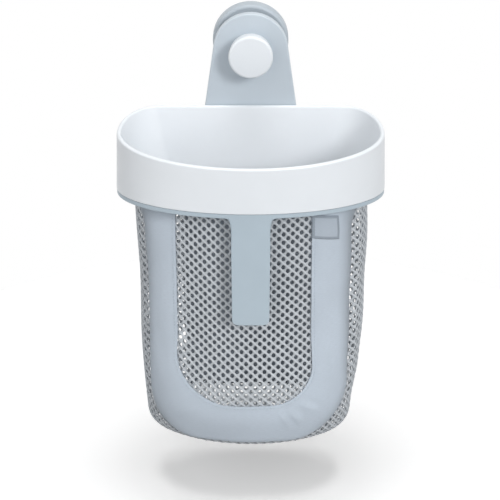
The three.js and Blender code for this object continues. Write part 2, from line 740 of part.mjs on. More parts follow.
function tabShape(ringEdge) {
  const top = ringEdge + TAB_ROOT;
  const bottom = ringEdge - TAB_LENGTH;
  const [wide, narrow] = [TAB_TOP_WIDTH / 2, TAB_BOTTOM_WIDTH / 2];
  const shape = new THREE.Shape();
  shape.moveTo(wide + TAB_FILLET, top);
  shape.lineTo(-wide - TAB_FILLET, top);
  shape.lineTo(-wide - TAB_FILLET, ringEdge);
  shape.quadraticCurveTo(-wide, ringEdge, -wide, ringEdge - TAB_FILLET);
  shape.lineTo(-narrow, bottom + TAB_CORNER);
  shape.absarc(-narrow + TAB_CORNER, bottom + TAB_CORNER, TAB_CORNER, Math.PI, 1.5 * Math.PI, false);
  shape.absarc(narrow - TAB_CORNER, bottom + TAB_CORNER, TAB_CORNER, 1.5 * Math.PI, 2 * Math.PI, false);
  shape.lineTo(wide, ringEdge - TAB_FILLET);
  shape.quadraticCurveTo(wide, ringEdge, wide + TAB_FILLET, ringEdge);
  shape.closePath();
  return shape;
}

function bagHem() {
  return piece('bag_hem', 'fabric', hemRing([
    [0, HEM_RISE],
    [0, -HEM_DROP],
    [-HEM_THICKNESS, -HEM_DROP],
    [-HEM_THICKNESS, HEM_RISE],
  ]));
}

function bagWalls() {
  const wall = solid(bagWall(0, -BAG_THICKNESS));
  const panel = wall.intersect(frontCutter(panelShape(0))).subtract(frontCutter(windowShape(0)));
  const windowOutline = windowShape(-SEAT_GAP).getPoints(ARC_STEPS);
  const inWindow = (x, depth, z) => depth > widest && z < wallTop(depth) && contains(windowOutline, x, z);
  const net = wall.intersect(frontCutter(windowShape(-SEAT_GAP))).subtract(netGaps(inWindow));
  const back = wall.intersect(backCutter(0));
  const panelOutline = panelShape(SEAT_GAP).getPoints(ARC_STEPS);
  const around = wall.subtract(frontCutter(panelShape(SEAT_GAP))).subtract(backCutter(SEAT_GAP));
  const sideNet = (side) => {
    const inSide = (x, depth, z) => {
      const ofBack = depth < widest && Math.abs(x) < BACK_PANEL_HALF_WIDTH;
      const ofFront = depth > widest && contains(panelOutline, x, z);
      return x * side > 0 && !ofBack && !ofFront && z < wallTop(depth) && z > wallBottom;
    };
    return around.intersect(sideCutter(side)).subtract(netGaps(inSide));
  };
  return [
    piece('bag_front_panel', 'fabric', panel),
    piece('bag_front_mesh', 'netting', net),
    piece('bag_side_mesh_left', 'netting', sideNet(-1)),
    piece('bag_side_mesh_right', 'netting', sideNet(1)),
    piece('bag_back_panel', 'fabric', back),
  ];
}

// The bottom is a shallow dish whose rounded edge meets the walls.
function bagBottom() {
  const stations = stationsOf(BAG_BASE, BAG_STEPS);
  const steps = Array.from({ length: EDGE_ROWS + 1 }, (_, k) => (k / EDGE_ROWS) * (Math.PI / 2));
  const row = (radius) => (angle) => {
    const z = wallBottom - SEAT_GAP - radius * Math.sin(angle);
    return stations.map((s) => outside(s, radius * Math.cos(angle) - BAG_EDGE, () => z));
  };
  const inner = steps.map(row(BAG_EDGE - BAG_THICKNESS)).reverse();
  const outer = steps.map(row(BAG_EDGE));
  return piece('bag_bottom_mesh', 'netting', lofted([...inner, ...outer], false));
}

function sewnPatch() {
  const layer = solid(bagWall(SEAT_GAP + PATCH_THICKNESS, SEAT_GAP));
  const [from, to] = [PATCH_CENTRE - PATCH_WIDTH / 2, PATCH_CENTRE + PATCH_WIDTH / 2];
  const innerEnd = widest + BAG_TOP.front * Math.sqrt(1 - (from / BAG_TOP.halfWidth) ** 2);
  const top = wallTop(innerEnd) - PATCH_DROP;
  const fall = PATCH_SLANT * PATCH_WIDTH;
  const shape = new THREE.Shape();
  shape.moveTo(from, top);
  shape.lineTo(from, top - PATCH_HEIGHT);
  shape.lineTo(to, top - PATCH_HEIGHT - fall);
  shape.lineTo(to, top - fall);
  shape.closePath();
  return piece('sewn_patch', 'fabric', layer.intersect(frontCutter(shape)));
}

function wallMount() {
  const group = new THREE.Group();
  group.add(suctionCup(), mountHousing(), suctionStud());
  return group;
}

function knob() {
  const group = new THREE.Group();
  group.add(thrustWasher(), knobBody(), knobNut(), knobCap());
  return group;
}

function scoop() {
  const group = new THREE.Group();
  group.add(hangerPlate(), ...plateScrews(), rimCollar(), bagRing());
  group.add(bagHem(), ...bagWalls(), bagBottom(), sewnPatch());
  return group;
}

const organizer = new THREE.Group();
organizer.add(wallMount(), knob(), scoop());

export default organizer;
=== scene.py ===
import math

import bmesh
import bpy
import numpy as np
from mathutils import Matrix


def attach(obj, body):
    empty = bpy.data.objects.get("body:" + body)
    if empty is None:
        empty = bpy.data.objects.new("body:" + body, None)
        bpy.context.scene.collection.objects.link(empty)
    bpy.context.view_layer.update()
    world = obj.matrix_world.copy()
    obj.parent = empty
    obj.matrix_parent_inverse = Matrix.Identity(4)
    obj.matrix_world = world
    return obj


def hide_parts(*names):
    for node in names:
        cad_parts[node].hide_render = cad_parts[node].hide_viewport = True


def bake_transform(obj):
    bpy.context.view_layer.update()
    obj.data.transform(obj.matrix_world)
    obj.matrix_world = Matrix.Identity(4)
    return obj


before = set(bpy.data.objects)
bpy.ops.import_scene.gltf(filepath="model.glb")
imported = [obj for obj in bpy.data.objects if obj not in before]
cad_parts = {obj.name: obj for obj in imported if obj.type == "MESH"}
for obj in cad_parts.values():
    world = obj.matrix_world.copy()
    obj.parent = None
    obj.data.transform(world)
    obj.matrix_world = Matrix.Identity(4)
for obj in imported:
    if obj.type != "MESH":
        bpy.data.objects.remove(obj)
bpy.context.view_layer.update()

MM = 0.001

# Gaps
SEAT_GAP = 0.3
RUNNING_GAP = 0.4

# Wall mount
CUP_RADIUS = 31.2
CUP_LIP_WIDTH = 8
CUP_LIP_THICKNESS = 2.2
CUP_EDGE = 0.7
CUP_EDGE_RUN = 1
CUP_EDGE_FALL = 0.2
CUP_GROOVE = (4, 0.5)
CUP_SEAL_GAP = 0.05
CUP_WALL = 2.4
CUP_VAULT = 4
CUP_SHOULDER = (5, 1.4)
CUP_BOSS_RADIUS = 11
CUP_BOSS_FOOT = 1
CUP_BOSS_EDGE = 0.8
CUP_AXIS_HOLE = 0.2
HOUSING_RADIUS = 33.2
HOUSING_WALL = 2.6
HOUSING_ROUND = 3
HOUSING_EDGE = 0.6
HOUSING_BACK = 2.5
HOUSING_FRONT = 14.8
HUB_RADIUS = 14
HUB_FRONT = 28.8
HUB_FILLET = 1.5
STUD_RADIUS = 5
STUD_FLANGE_RADIUS = 7.5
STUD_FLANGE = (6.7, 9.2)

# Knob
KNOB_RADIUS = 19.25
KNOB_TAPER = 1
KNOB_NECK_RADIUS = 11
KNOB_NECK_EDGE = 0.5
KNOB_NECK_FILLET = 1
KNOB_BACK = 37.3
KNOB_HEAD_BACK = 44
KNOB_FRONT = 52
KNOB_EDGE = 1.2
KNOB_BEVEL = 0.3
CAP_BACK = KNOB_FRONT + SEAT_GAP
CAP_FRONT = 57
CAP_ROUND = 2.2
CAP_CROWN = 0.5
CAP_BEVEL = (0.5, 0.4)
CAP_AXIS_FACE = 0.3
NUT_ACROSS_FLATS = 15
NUT_BACK = 45.7

# Hanger plate
PLATE_RADIUS = 32.4
PLATE_OVERRUN = 4.9
PLATE_FLARE = math.radians(8)
PLATE_CORNER = 8
PLATE_BACK = 29.1
PLATE_FRONT = 35.5
PLATE_SKIN_BACK = 32.9
PLATE_FLANGE = 2.6
PLATE_BEVEL = 1.1
PLATE_BACK_BEVEL = 0.4
PLATE_BOSS_RADIUS = 13
PLATE_RIB_WIDTH = 2
PLATE_RIB_SPACING = 16
PLATE_RIB_ROOT = 0.5
PLATE_RIB_IN_BOSS = 4.5

# Rim; an outline is half width, depth in front of the widest place, and the back corners' depth and width
WIDEST = 93.8
RIM = (115.8, 81, 58, 36)
RIM_TOP = 53.4
RIM_TILT = 0.021
RIM_FRONT = WIDEST + RIM[1]
RIM_BACK = WIDEST - RIM[2]
RIM_FRONT_HEIGHT = 40.2
RIM_RISE = 0.127
RIM_WALL = 2.4
RIM_LIP = 4
RIM_DRAFT = 1.4
RIM_ROUND = 0.9
RIM_CREST = 9
RIM_INNER_DROP = 6
RIM_INNER_BEVEL = 0.5
PLATE_LENGTH = RIM_TOP + RIM_FRONT_HEIGHT + RIM_RISE * (RIM_FRONT - RIM_BACK) + PLATE_OVERRUN

# Bag ring, its front tab, and the hem's outline
HEM = (100.6, 66.5, 45, 30)
HEM_THICKNESS = 1.2
HEM_RISE = 5
HEM_DROP = 7
RING_WALL = 2.2
RING_OUTER = SEAT_GAP + RING_WALL
RING_TOP_GAP = 0.1
RING_RISE = 4
RING_BAND = 4
RING_INSET = 0.35
RING_ROUND = 0.6
TAB_LENGTH = 99.8
TAB_TOP_HALF = 16.6
TAB_BOTTOM_HALF = 16
TAB_FILLET = 5
TAB_CORNER = 5

# Bag: drops are measured down from the stud's axis
BAG_TOP_DROP = 103
WALL_BOTTOM = 319.2
BAG_EDGE = 14
BAG_BASE_SHARE = 93.5 / HEM[0]
BAG_TAPER_POWER = 2.6
CLOTH = 0.7
SEWN_GAP = 0.2
HEM_HOLD = 20
BOTTOM_SAG = 0.8
SAG_START = 280
SAG_LEAN = 0.35
SAG_LEAN_SPAN = (-40, 70)

# Slack of the walls: a swell is a depth, a drop and a height; a foot is a depth and two drops
SIDE_SLACK_START = (72, 120)
SIDE_SLACK_END = (150, 186)
FRONT_SLACK_END = (60, 110)
LEFT_SWELLS = ((-2.4, 186, 46),)
RIGHT_SWELLS = ((1.6, 148, 32), (1.4, 226, 30))
RIGHT_FOOT = (-3, 272, 312)
FRONT_SWELLS = ((3.2, 281, 34), (-1.2, 205, 45))
FRONT_FOOT = (-2.6, 296, 330)

# Front panel and its window: sides as x at the top and at the foot, corners as radius at left and at right.
# Dips, rolls and curls at an edge are a depth and how far from the edge they reach.
# Turned rows: share of the turned edge, and lift. Panel rows: start and end of a stretch, and its count.
PANEL_EDGE = {"left": (-95.6, -90.6), "right": (89.0, 88.0), "bottom": 330.4, "corner": (38, 50), "top": 104}
WINDOW_EDGE = {"left": (-63.4, -63.6), "right": (51.0, 53.0), "bottom": 284.8, "corner": (46, 36),
               "top": 100.5}
TURNED_EDGE = 5
WINDOW_ROLL = (0.35, 0.1)
TURNED_ROWS = ((1.0, -0.15), (0.5, -0.1), (0.12, 0.0), (0.0, WINDOW_ROLL[0]))
PANEL_RUN = 30
PANEL_ROWS = ((0, 0.12, 4), (0.12, 0.85, 14), (0.85, 1, 8))
PANEL_SWELL = 1.7
PANEL_SEAM_DIP = (4.0, 8)
PANEL_RIPPLE = 0.45
PANEL_RIPPLE_RUNS = (11, 23, 17, 29)
PUCKER = 0.16
PUCKER_RUN = 1.15
PUCKER_PLACE = (2.5, 3)
# Painted shade on the front panel near its outer seam: depth and reach from the seam, how dark it gets, and
# the x over which it grows towards the sides
PAINTED_SHADE_REACH = (1, 18)
PAINTED_SEAM_DARKNESS = 0.6
PAINTED_SHADE_SIDES = (40, 80)

# Creases in the front panel: height, place as x and drop, angle in degrees, length and width
PANEL_CREASES = (
    (1.5, (30, 301), 62, 9, 2.0),
    (-1.1, (34, 302), 58, 8, 1.8),
    (1.3, (39, 300), 55, 7, 1.8),
    (1.2, (49, 290), 40, 9, 2.2),
    (-0.9, (53, 287), 38, 8, 1.8),
    (0.7, (69, 260), 88, 16, 2.5),
    (-0.6, (-76, 238), 80, 22, 4.0),
    (0.7, (-54, 294), -40, 10, 3.0),
)

# Stitches round the window
STITCH_INSET = 2.4
STITCH_PITCH = 3.1
STITCH_LENGTH = 2.3
STITCH_RADIUS = 0.24
STITCH_ARCH = 2.2
STITCH_BLUNT = 0.05
STITCH_RISE = 0.5
STITCH_RINGS = 6
STITCH_SIDES = 6

# Nets
NET_PITCH = (8.0, 7.75)
NET_HOLE = (1.7, 2.1)
FLOOR_HOLE = (1.0, 1.0)
NET_STRAND = 1.0
OVER_CORD = 0.48
UNDER_CORD = 0.26
HOLE_LOOPS = ((1.22, 0.2), (1.0, -0.2))
WINDOW_NET_SETBACK = 1.0
WALL_NET_SETBACK = 0.5
NET_OVERLAP = 3.5
HEM_OVERLAP = 2
NET_SEAM_DIP = (3.2, 7)
NET_SEAM_END = (285, 310)
BOTTOM_NET_RUN = 6
FLOOR_INSET = 3
FLOOR_DISH = 1.5
FLOOR_DISH_SPAN = (80, 55)

# Back panel
BACK_PANEL_HALF = 62
BACK_TUCK = 3.5
BACK_OVERRUN = 4
BACK_SEAM_DIP = (1.6, 9)
BACK_RIPPLE = 0.6
BACK_RIPPLE_RUNS = (13, 31, 26, math.inf)
BACK_HOLLOW = (-1.2, 235, 70)
BACK_HOLLOW_EDGE = 30

# Patch, a plain woven label
PATCH_CENTRE = 62.2
PATCH_SIZE = (22, 21.3)
PATCH_DROP = 0.4
PATCH_SLANT = 0.265
PATCH_SIDE_CURL = (0.3, 2.5)
PATCH_LOW_CURL = 0.2
PATCH_LOW_CURL_SHARES = (0.85, 1)
LABEL_THICKNESS = 0.5
LABEL_BORDER_SIZE = (25.4, PATCH_SIZE[1])
LABEL_BORDER = 2.4
LABEL_BORDER_BLUR = 0.3

# Angles in degrees past which an edge is shown sharp
MOULDING_SHARP = 40
RIM_SHARP = 42
CLOTH_SHARP = 60
NET_SHARP = 75

# Stage and camera
FLOOR_DROP = 389.2
FLOOR_RADIUS = 450
FLOOR_LIFT = 0.27
FLOOR_PAPER = (0.93, 0.95)
FLOOR_BOUNCE = 0.28
CAMERA_SENSOR = 36
CAMERA_LENS = 144
CAMERA_PLACE = (-0.6, -1673.12, 605.08)
CAMERA_TILT = 64

# Lamps: way to the lamp, strength, and angle across in degrees
LAMPS = {
    "key": ((0.5, -0.82, 0.5), 1.35, 15),
    "wide": ((0.74, -0.66, 0.5), 1.0, 110),
    "top": ((0.0, 0.0, 1.0), 1.35, 28),
    "fill": ((-0.78, -0.6, 0.28), 1.25, 90),
    "back": ((-0.3, 0.9, 0.5), 0.2, 70),
}
WORLD_ABOVE = 0.12
WORLD_BELOW = 0.22


# Materials
def link_or_set(tree, socket, value):
    if isinstance(value, bpy.types.NodeSocket):
        tree.links.new(value, socket)
    else:
        socket.default_value = value


def add_node(tree, kind, inputs=None, **settings):
    node = tree.nodes.new(kind)
    for key, value in settings.items():
        setattr(node, key, value)
    for key, value in (inputs or {}).items():
        link_or_set(tree, node.inputs[key], value)
    return node


def math_node(tree, operation, *values):
    return add_node(tree, "ShaderNodeMath", dict(enumerate(values)), operation=operation).outputs[0]


def noise(tree, place, scale, detail=3.0):
    node = add_node(tree, "ShaderNodeTexNoise", {"Vector": place, "Scale": scale, "Detail": detail})
    return node.outputs["Fac"]


def bands(tree, place, scale, distortion, direction):
    inputs = {"Vector": place, "Scale": scale, "Distortion": distortion}
    node = add_node(tree, "ShaderNodeTexWave", inputs, wave_type="BANDS", bands_direction=direction)
    return node.outputs["Fac"]


def blend_colours(tree, share, first, second):
    node = add_node(tree, "ShaderNodeMix", data_type="RGBA")
    link_or_set(tree, node.inputs[0], share)
    link_or_set(tree, node.inputs[6], first)
    link_or_set(tree, node.inputs[7], second)
    return node.outputs[2]


def map_range(tree, value, source, target, **settings):
    """Carries a range of values, given by its ends, over to another range."""
    inputs = {"Value": value, "From Min": source[0], "From Max": source[1]}
    inputs.update({"To Min": target[0], "To Max": target[1]})
    return add_node(tree, "ShaderNodeMapRange", inputs, **settings).outputs[0]


def spread(tree, value, low=0.0, high=1.0):
    return map_range(tree, value, (0.3, 0.7), (low, high))


def on_sheet(tree):
    """Place on the cloth's own flat sheet."""
    return add_node(tree, "ShaderNodeUVMap", uv_map="cloth").outputs[0]


def split(tree, vector):
    return add_node(tree, "ShaderNodeSeparateXYZ", {0: vector}).outputs


def new_material(name, rough, metal=0.0):
    material = bpy.data.materials.new(name)
    material.use_nodes = True
    tree = material.node_tree
    shader = tree.nodes["Principled BSDF"]
    shader.inputs["Metallic"].default_value = metal
    shader.inputs["Roughness"].default_value = rough
    place = add_node(tree, "ShaderNodeTexCoord").outputs["Object"]
    return material, tree, shader, place


def bump_into(tree, shader, height, depth_mm, strength=1.0):
    inputs = {"Height": height, "Distance": depth_mm * MM, "Strength": strength}
    tree.links.new(add_node(tree, "ShaderNodeBump", inputs).outputs[0], shader.inputs["Normal"])


def shade(colour, factor):
    return tuple(min(1.0, c * factor) for c in colour) + (1.0,)


def set_colour(tree, shader, tint):
    tree.links.new(tint, shader.inputs["Base Color"])


def two_shades(tree, share, colour, low, high):
    return blend_colours(tree, share, shade(colour, low), shade(colour, high))


def uneven_gloss(tree, shader, pattern, low, high):
    tree.links.new(spread(tree, pattern, low, high), shader.inputs["Roughness"])


def plastic(name, colour, rough, mottle=0.03, grain=0.02):
    """Moulded plastic: faint cloudiness in the colour, uneven gloss, and a fine spark-eroded grain."""
    material, tree, shader, place = new_material(name, rough)
    cloud = spread(tree, noise(tree, place, 38.0, 4.0))
    set_colour(tree, shader, two_shades(tree, cloud, colour, 1 - mottle, 1 + mottle))
    uneven_gloss(tree, shader, noise(tree, place, 140.0, 5.0), rough - 0.06, rough + 0.06)
    bump_into(tree, shader, noise(tree, place, 2600.0, 2.0), grain)
    return material


def weave(tree, flat, pitch):
    """Plain weave on a flat sheet: threads over and under at the given pitch in millimetres."""
    turns = math.pi / (pitch * MM)
    scaled = add_node(tree, "ShaderNodeVectorMath", {0: flat, 1: (turns, turns, 1.0)}, operation="MULTIPLY")
    axes = split(tree, scaled.outputs[0])
    across = math_node(tree, "SINE", axes[0])
    down = math_node(tree, "SINE", axes[1])
    return math_node(tree, "MULTIPLY_ADD", across, down, 0.5)


def cloth(name, colour, rough=0.86, pitch=0.45):
    """Woven polyester: threads, slubs along the weave, soft blotches and a little sheen."""
    material, tree, shader, place = new_material(name, rough)
    flat = on_sheet(tree)
    threads = weave(tree, flat, pitch)
    stretched = add_node(tree, "ShaderNodeMapping", {"Vector": flat, "Scale": (240.0, 2600.0, 1.0)})
    slub = noise(tree, stretched.outputs[0], 1.0, 2.0)
    blotch = spread(tree, noise(tree, place, 24.0, 4.0))
    base = two_shades(tree, blotch, colour, 0.955, 1.045)
    fine = spread(tree, math_node(tree, "ADD", slub, math_node(tree, "MULTIPLY", threads, 0.06)))
    set_colour(tree, shader, blend_colours(tree, fine, shade(colour, 0.93), base))
    height = math_node(tree, "ADD", threads, math_node(tree, "MULTIPLY", slub, 0.6))
    bump_into(tree, shader, height, 0.05, 0.8)
    shader.inputs["Sheen Weight"].default_value = 0.12
    shader.inputs["Sheen Roughness"].default_value = 0.5
    return material


def overlaid_cloth(material, share, colour):
    """Puts a colour over woven cloth where the share is 1."""
    tree = material.node_tree
    shader = tree.nodes["Principled BSDF"]
    woven = shader.inputs["Base Color"].links[0].from_socket
    set_colour(tree, shader, blend_colours(tree, share, woven, colour))
    return material


def cloth_with_painted_seam_shade(name, colour):
    """Woven cloth with painted shade: darker near the seams at its sides, where the cloth curves into the
    seam.
    """
    material = cloth(name, colour)
    painted_seam_shade = add_node(material.node_tree, "ShaderNodeAttribute", attribute_name="painted_seam_shade").outputs["Fac"]
    return overlaid_cloth(material, painted_seam_shade, shade(colour, PAINTED_SEAM_DARKNESS))


def bordered_cloth(name, colour, border):
    """A woven label, darker in a border along its edges."""
    material = cloth(name, colour, 0.8, 0.3)
    tree = material.node_tree
    gaps = []
    for place, size in zip(split(tree, on_sheet(tree)), LABEL_BORDER_SIZE):
        off_middle = math_node(tree, "SUBTRACT", place, size / 2 * MM)
        gaps.append(math_node(tree, "SUBTRACT", size / 2 * MM, math_node(tree, "ABSOLUTE", off_middle)))
    edge = math_node(tree, "MINIMUM", *gaps)
    start, end = LABEL_BORDER - LABEL_BORDER_BLUR, LABEL_BORDER + LABEL_BORDER_BLUR
    on_border = map_range(tree, edge, (start * MM, end * MM), (1.0, 0.0))
    return overlaid_cloth(material, on_border, shade(border, 1))


def yarn(name, colour, rough=0.72):
    """Twisted thread: filaments that run across it, with paler and duller spots."""
    material, tree, shader, place = new_material(name, rough)
    spot = spread(tree, noise(tree, place, 210.0, 3.0))
    set_colour(tree, shader, two_shades(tree, spot, colour, 0.92, 1.06))
    finish_yarn(tree, shader, place, rough)
    return material


def finish_yarn(tree, shader, place, rough):
    """The twist in a thread's surface and its uneven gloss."""
    bump_into(tree, shader, bands(tree, place, 620.0, 2.5, "DIAGONAL"), 0.06, 0.6)
    uneven_gloss(tree, shader, noise(tree, place, 330.0, 2.0), rough - 0.1, rough + 0.1)


def net_yarn_with_painted_highlight(name, colour, pale, rough=0.7):
    """Knitted net with a painted highlight: one set of cords lies on top and is painted paler, as if it
    caught the light; the other set runs under it.
    """
    material, tree, shader, place = new_material(name, rough)
    axes = split(tree, on_sheet(tree))
    across = math_node(tree, "DIVIDE", axes[0], NET_PITCH[0] * MM)
    down = math_node(tree, "DIVIDE", axes[1], NET_PITCH[1] * MM)
    turn = math_node(tree, "FRACT", math_node(tree, "SUBTRACT", across, down))
    off_cord = math_node(tree, "ABSOLUTE", math_node(tree, "SUBTRACT", turn, 0.5))
    # Painted highlight: the cords that lie on top get the paler colour
    painted_highlight_share = map_range(tree, off_cord, (0.05, 0.2), (1.0, 0.0), interpolation_type="SMOOTHSTEP")
    spot = spread(tree, noise(tree, place, 210.0, 3.0))
    dull = two_shades(tree, spot, colour, 0.88, 1.08)
    highlighted = two_shades(tree, spot, pale, 0.94, 1.04)
    set_colour(tree, shader, blend_colours(tree, painted_highlight_share, dull, highlighted))
    finish_yarn(tree, shader, place, rough)
    return material


def metal(name, colour, rough):
    """Turned metal: fine tool lines and a slightly uneven polish."""
    material, tree, shader, place = new_material(name, rough, 1.0)
    rub = spread(tree, noise(tree, place, 420.0, 4.0))
    set_colour(tree, shader, two_shades(tree, rub, colour, 0.88, 1.05))
    uneven_gloss(tree, shader, noise(tree, place, 900.0, 3.0), rough - 0.08, rough + 0.1)
    bump_into(tree, shader, bands(tree, place, 700.0, 0.6, "Y"), 0.02, 0.5)
    return material


def soft_vinyl(name, colour):
    """Soft clear vinyl: lets a little light in, with flow marks and a smooth skin."""
    material = plastic(name, colour, 0.26, 0.05, 0.01)
    shader = material.node_tree.nodes["Principled BSDF"]
    shader.inputs["Transmission Weight"].default_value = 0.35
    shader.inputs["IOR"].default_value = 1.5
    return material


WHITE = plastic("white_moulding", (0.785, 0.82, 0.856), 0.36, 0.012)
GREY = plastic("grey_moulding", (0.55, 0.613, 0.67), 0.42, 0.02)
# A darker copy of the grey moulding: painted shade for the plate's shadow on the housing
SHADED_HOUSING_GREY = plastic("housing_moulding_painted_shade", (0.43, 0.485, 0.535), 0.42, 0.02)
RING_GREY = plastic("ring_moulding", (0.435, 0.52, 0.585), 0.42, 0.02)
CUP_SKIN = soft_vinyl("cup_vinyl", (0.62, 0.66, 0.70))
FABRIC = cloth_with_painted_seam_shade("woven_fabric", (0.55, 0.62, 0.70))
# A darker copy of the panel cloth: painted shade, so that the bag's inside looks shaded through the net's
# holes
SHADED_BACK_FABRIC = cloth("back_fabric_painted_shade", (0.23, 0.255, 0.29))
LABEL = bordered_cloth("label_weave", (0.46, 0.52, 0.59), (0.30, 0.345, 0.40))
NETTING = net_yarn_with_painted_highlight("net_cord", (0.48, 0.51, 0.54), (0.585, 0.62, 0.655))
THREAD = yarn("sewing_thread", (0.50, 0.56, 0.63), 0.65)
STEEL = metal("plated_steel", (0.62, 0.62, 0.63), 0.34)
BRASS = metal("turned_brass", (0.72, 0.55, 0.28), 0.32)
NYLON = plastic("nylon", (0.72, 0.71, 0.67), 0.48, 0.04)


# Mesh helpers
def step_lengths(path):
    return np.hypot(*np.diff(path, axis=0).T)


def distances(path):
    """How far along a path each of its points lies."""
    return np.concatenate([[0], np.cumsum(step_lengths(path))])


def new_piece(name, points, faces, material, sharp=MOULDING_SHARP, flat=None, outward=False):
    """A smooth mesh, with the flat pattern that it was cut from where it is cloth."""
    mesh = bpy.data.meshes.new(name)
    mesh.from_pydata((np.asarray(points, float) * MM).tolist(), [], faces)
    if outward:
        shell = bmesh.new()
        shell.from_mesh(mesh)
        bmesh.ops.recalc_face_normals(shell, faces=shell.faces)
        shell.to_mesh(mesh)
        shell.free()
    if flat is not None:
        corners = np.zeros(len(mesh.loops), int)
        mesh.loops.foreach_get("vertex_index", corners)
        sheet = mesh.uv_layers.new(name="cloth")
        sheet.data.foreach_set("uv", (np.asarray(flat, float)[corners] * MM).ravel())
    mesh.shade_smooth()
    mesh.set_sharp_from_angle(angle=math.radians(sharp))
    mesh.materials.append(material)
    piece = bpy.data.objects.new(name, mesh)
    bpy.context.scene.collection.objects.link(piece)
    return piece


def grid_faces(rows, columns, wrap=False, close=False):
    faces = []
    for r in range(rows if close else rows - 1):
        for c in range(columns if wrap else columns - 1):
            below, right = (r + 1) % rows, (c + 1) % columns
            faces.append((r * columns + c, below * columns + c, below * columns + right, r * columns + right))
    return faces


def even_normals(piece):
    modifier = piece.modifiers.new("even_normals", "WEIGHTED_NORMAL")
    modifier.keep_sharp = True
    modifier.weight = 80


def thicken(piece, thickness):
    modifier = piece.modifiers.new("thickness", "SOLIDIFY")
    modifier.thickness = thickness * MM
    modifier.offset = -1.0


def moulded_loop(name, rows, material, sharp=MOULDING_SHARP):
    """A closed moulding from rows of points that each run once round it."""
    faces = grid_faces(len(rows), len(rows[0]), wrap=True, close=True)
    piece = new_piece(name, np.concatenate(rows), faces, material, sharp, outward=True)
    even_normals(piece)
    return piece


def cloth_sheet(name, rows, flats, material, thickness):
    """A sheet of cloth from rows of points and the rows of its flat pattern."""
    faces = grid_faces(len(rows), len(rows[0]))
    piece = new_piece(name, np.concatenate(rows), faces, material, CLOTH_SHARP, flat=np.concatenate(flats))
    thicken(piece, thickness)
    return piece


def arc(centre, radius, start, end, steps):
    """Points round part of a circle, angles in degrees."""
    angles = np.radians(np.linspace(start, end, steps + 1))
    return [(centre[0] + radius * math.cos(a), centre[1] + radius * math.sin(a)) for a in angles]


def rounded(corner, radius, start, end, steps):
    """An arc in place of a square corner, with the angles at which it leaves and meets the sides."""
    ends = arc((0, 0), radius, start, end, 1)
    centre = [place - sum(offsets) for place, offsets in zip(corner, zip(*ends))]
    return arc(centre, radius, start, end, steps)


def lathe(name, profile, material, steps=112, capped=False):
    """Turns a profile of (radius, depth) points about the stud's axis."""
    angles = np.linspace(0, 2 * math.pi, steps, endpoint=False)
    points = [(r * math.cos(a), -d, r * math.sin(a)) for r, d in profile for a in angles]
    faces = grid_faces(len(profile), steps, wrap=True, close=not capped)
    if capped:
        last = (len(profile) - 1) * steps
        faces.append(tuple(range(steps)))
        faces.append(tuple(range(last + steps - 1, last - 1, -1)))
    piece = new_piece(name, points, faces, material, outward=True)
    even_normals(piece)
    return piece


# Outlines seen from above: flat back, two rounded back corners, one long curved front
def outline(sizes, back_steps=6, corner_steps=22, front_steps=110):
    """Columns x, depth and outward direction, once round from the middle of the back."""
    half_width, _, corner_depth, corner_width = sizes
    flat = half_width - corner_width
    turn = np.linspace(0, math.pi / 2, corner_steps + 1)
    swing = np.linspace(0, math.pi, front_steps + 1)
    back = np.linspace(0, flat, back_steps + 1)[:-1]
    right = [(x, WIDEST - corner_depth, 0.0, -1.0) for x in back]
    right += [unit(flat + corner_width * math.sin(a), WIDEST - corner_depth * math.cos(a),
                   math.sin(a) / corner_width, -math.cos(a) / corner_depth) for a in turn[:-1]]
    across = [front_at(sizes, a) for a in swing]
    left = [(-x, d, -nx, nd) for x, d, nx, nd in right[:0:-1]]
    return np.array(right + across + left)


def front_at(sizes, turn):
    """The column on an outline's curved front at an angle from its right end."""
    x, depth = math.cos(turn), math.sin(turn)
    return unit(sizes[0] * x, WIDEST + sizes[1] * depth, x / sizes[0], depth / sizes[1])


def unit(x, depth, nx, nd):
    size = math.hypot(nx, nd)
    return x, depth, nx / size, nd / size


def rim_edge(depth):
    return -(RIM_TOP + RIM_FRONT_HEIGHT) - RIM_RISE * (RIM_FRONT - depth)


def moved_out(columns, offset):
    return columns[:, 0] + offset * columns[:, 2], columns[:, 1] + offset * columns[:, 3]


def row_below_top(columns, offset, drop):
    x, depth = moved_out(columns, offset)
    return np.stack([x, -depth, RIM_TILT * (RIM_FRONT - depth) - RIM_TOP - drop], axis=1)


def row_by_edge(columns, offset, height):
    x, depth = moved_out(columns, offset)
    return np.stack([x, -depth, rim_edge(depth) + height], axis=1)


# Wall mount
def mount_housing():
    bore = STUD_RADIUS + RUNNING_GAP
    ceiling = HOUSING_FRONT - HOUSING_WALL
    inside = HOUSING_RADIUS - HOUSING_WALL
    profile = [(inside, HOUSING_BACK)]
    profile += rounded((HOUSING_RADIUS, HOUSING_BACK), HOUSING_EDGE, -90, 0, 4)
    profile += rounded((HOUSING_RADIUS, HOUSING_FRONT), HOUSING_ROUND, 0, 90, 8)
    profile += rounded((HUB_RADIUS, HOUSING_FRONT), HUB_FILLET, 270, 180, 5)
    profile += rounded((HUB_RADIUS, HUB_FRONT), HOUSING_EDGE, 0, 90, 4)
    profile += [(bore, HUB_FRONT), (bore, ceiling), (inside, ceiling)]
    piece = lathe("housing_shell", profile, SHADED_HOUSING_GREY)
    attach(piece, "wall_mount")
    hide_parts("mount_housing")


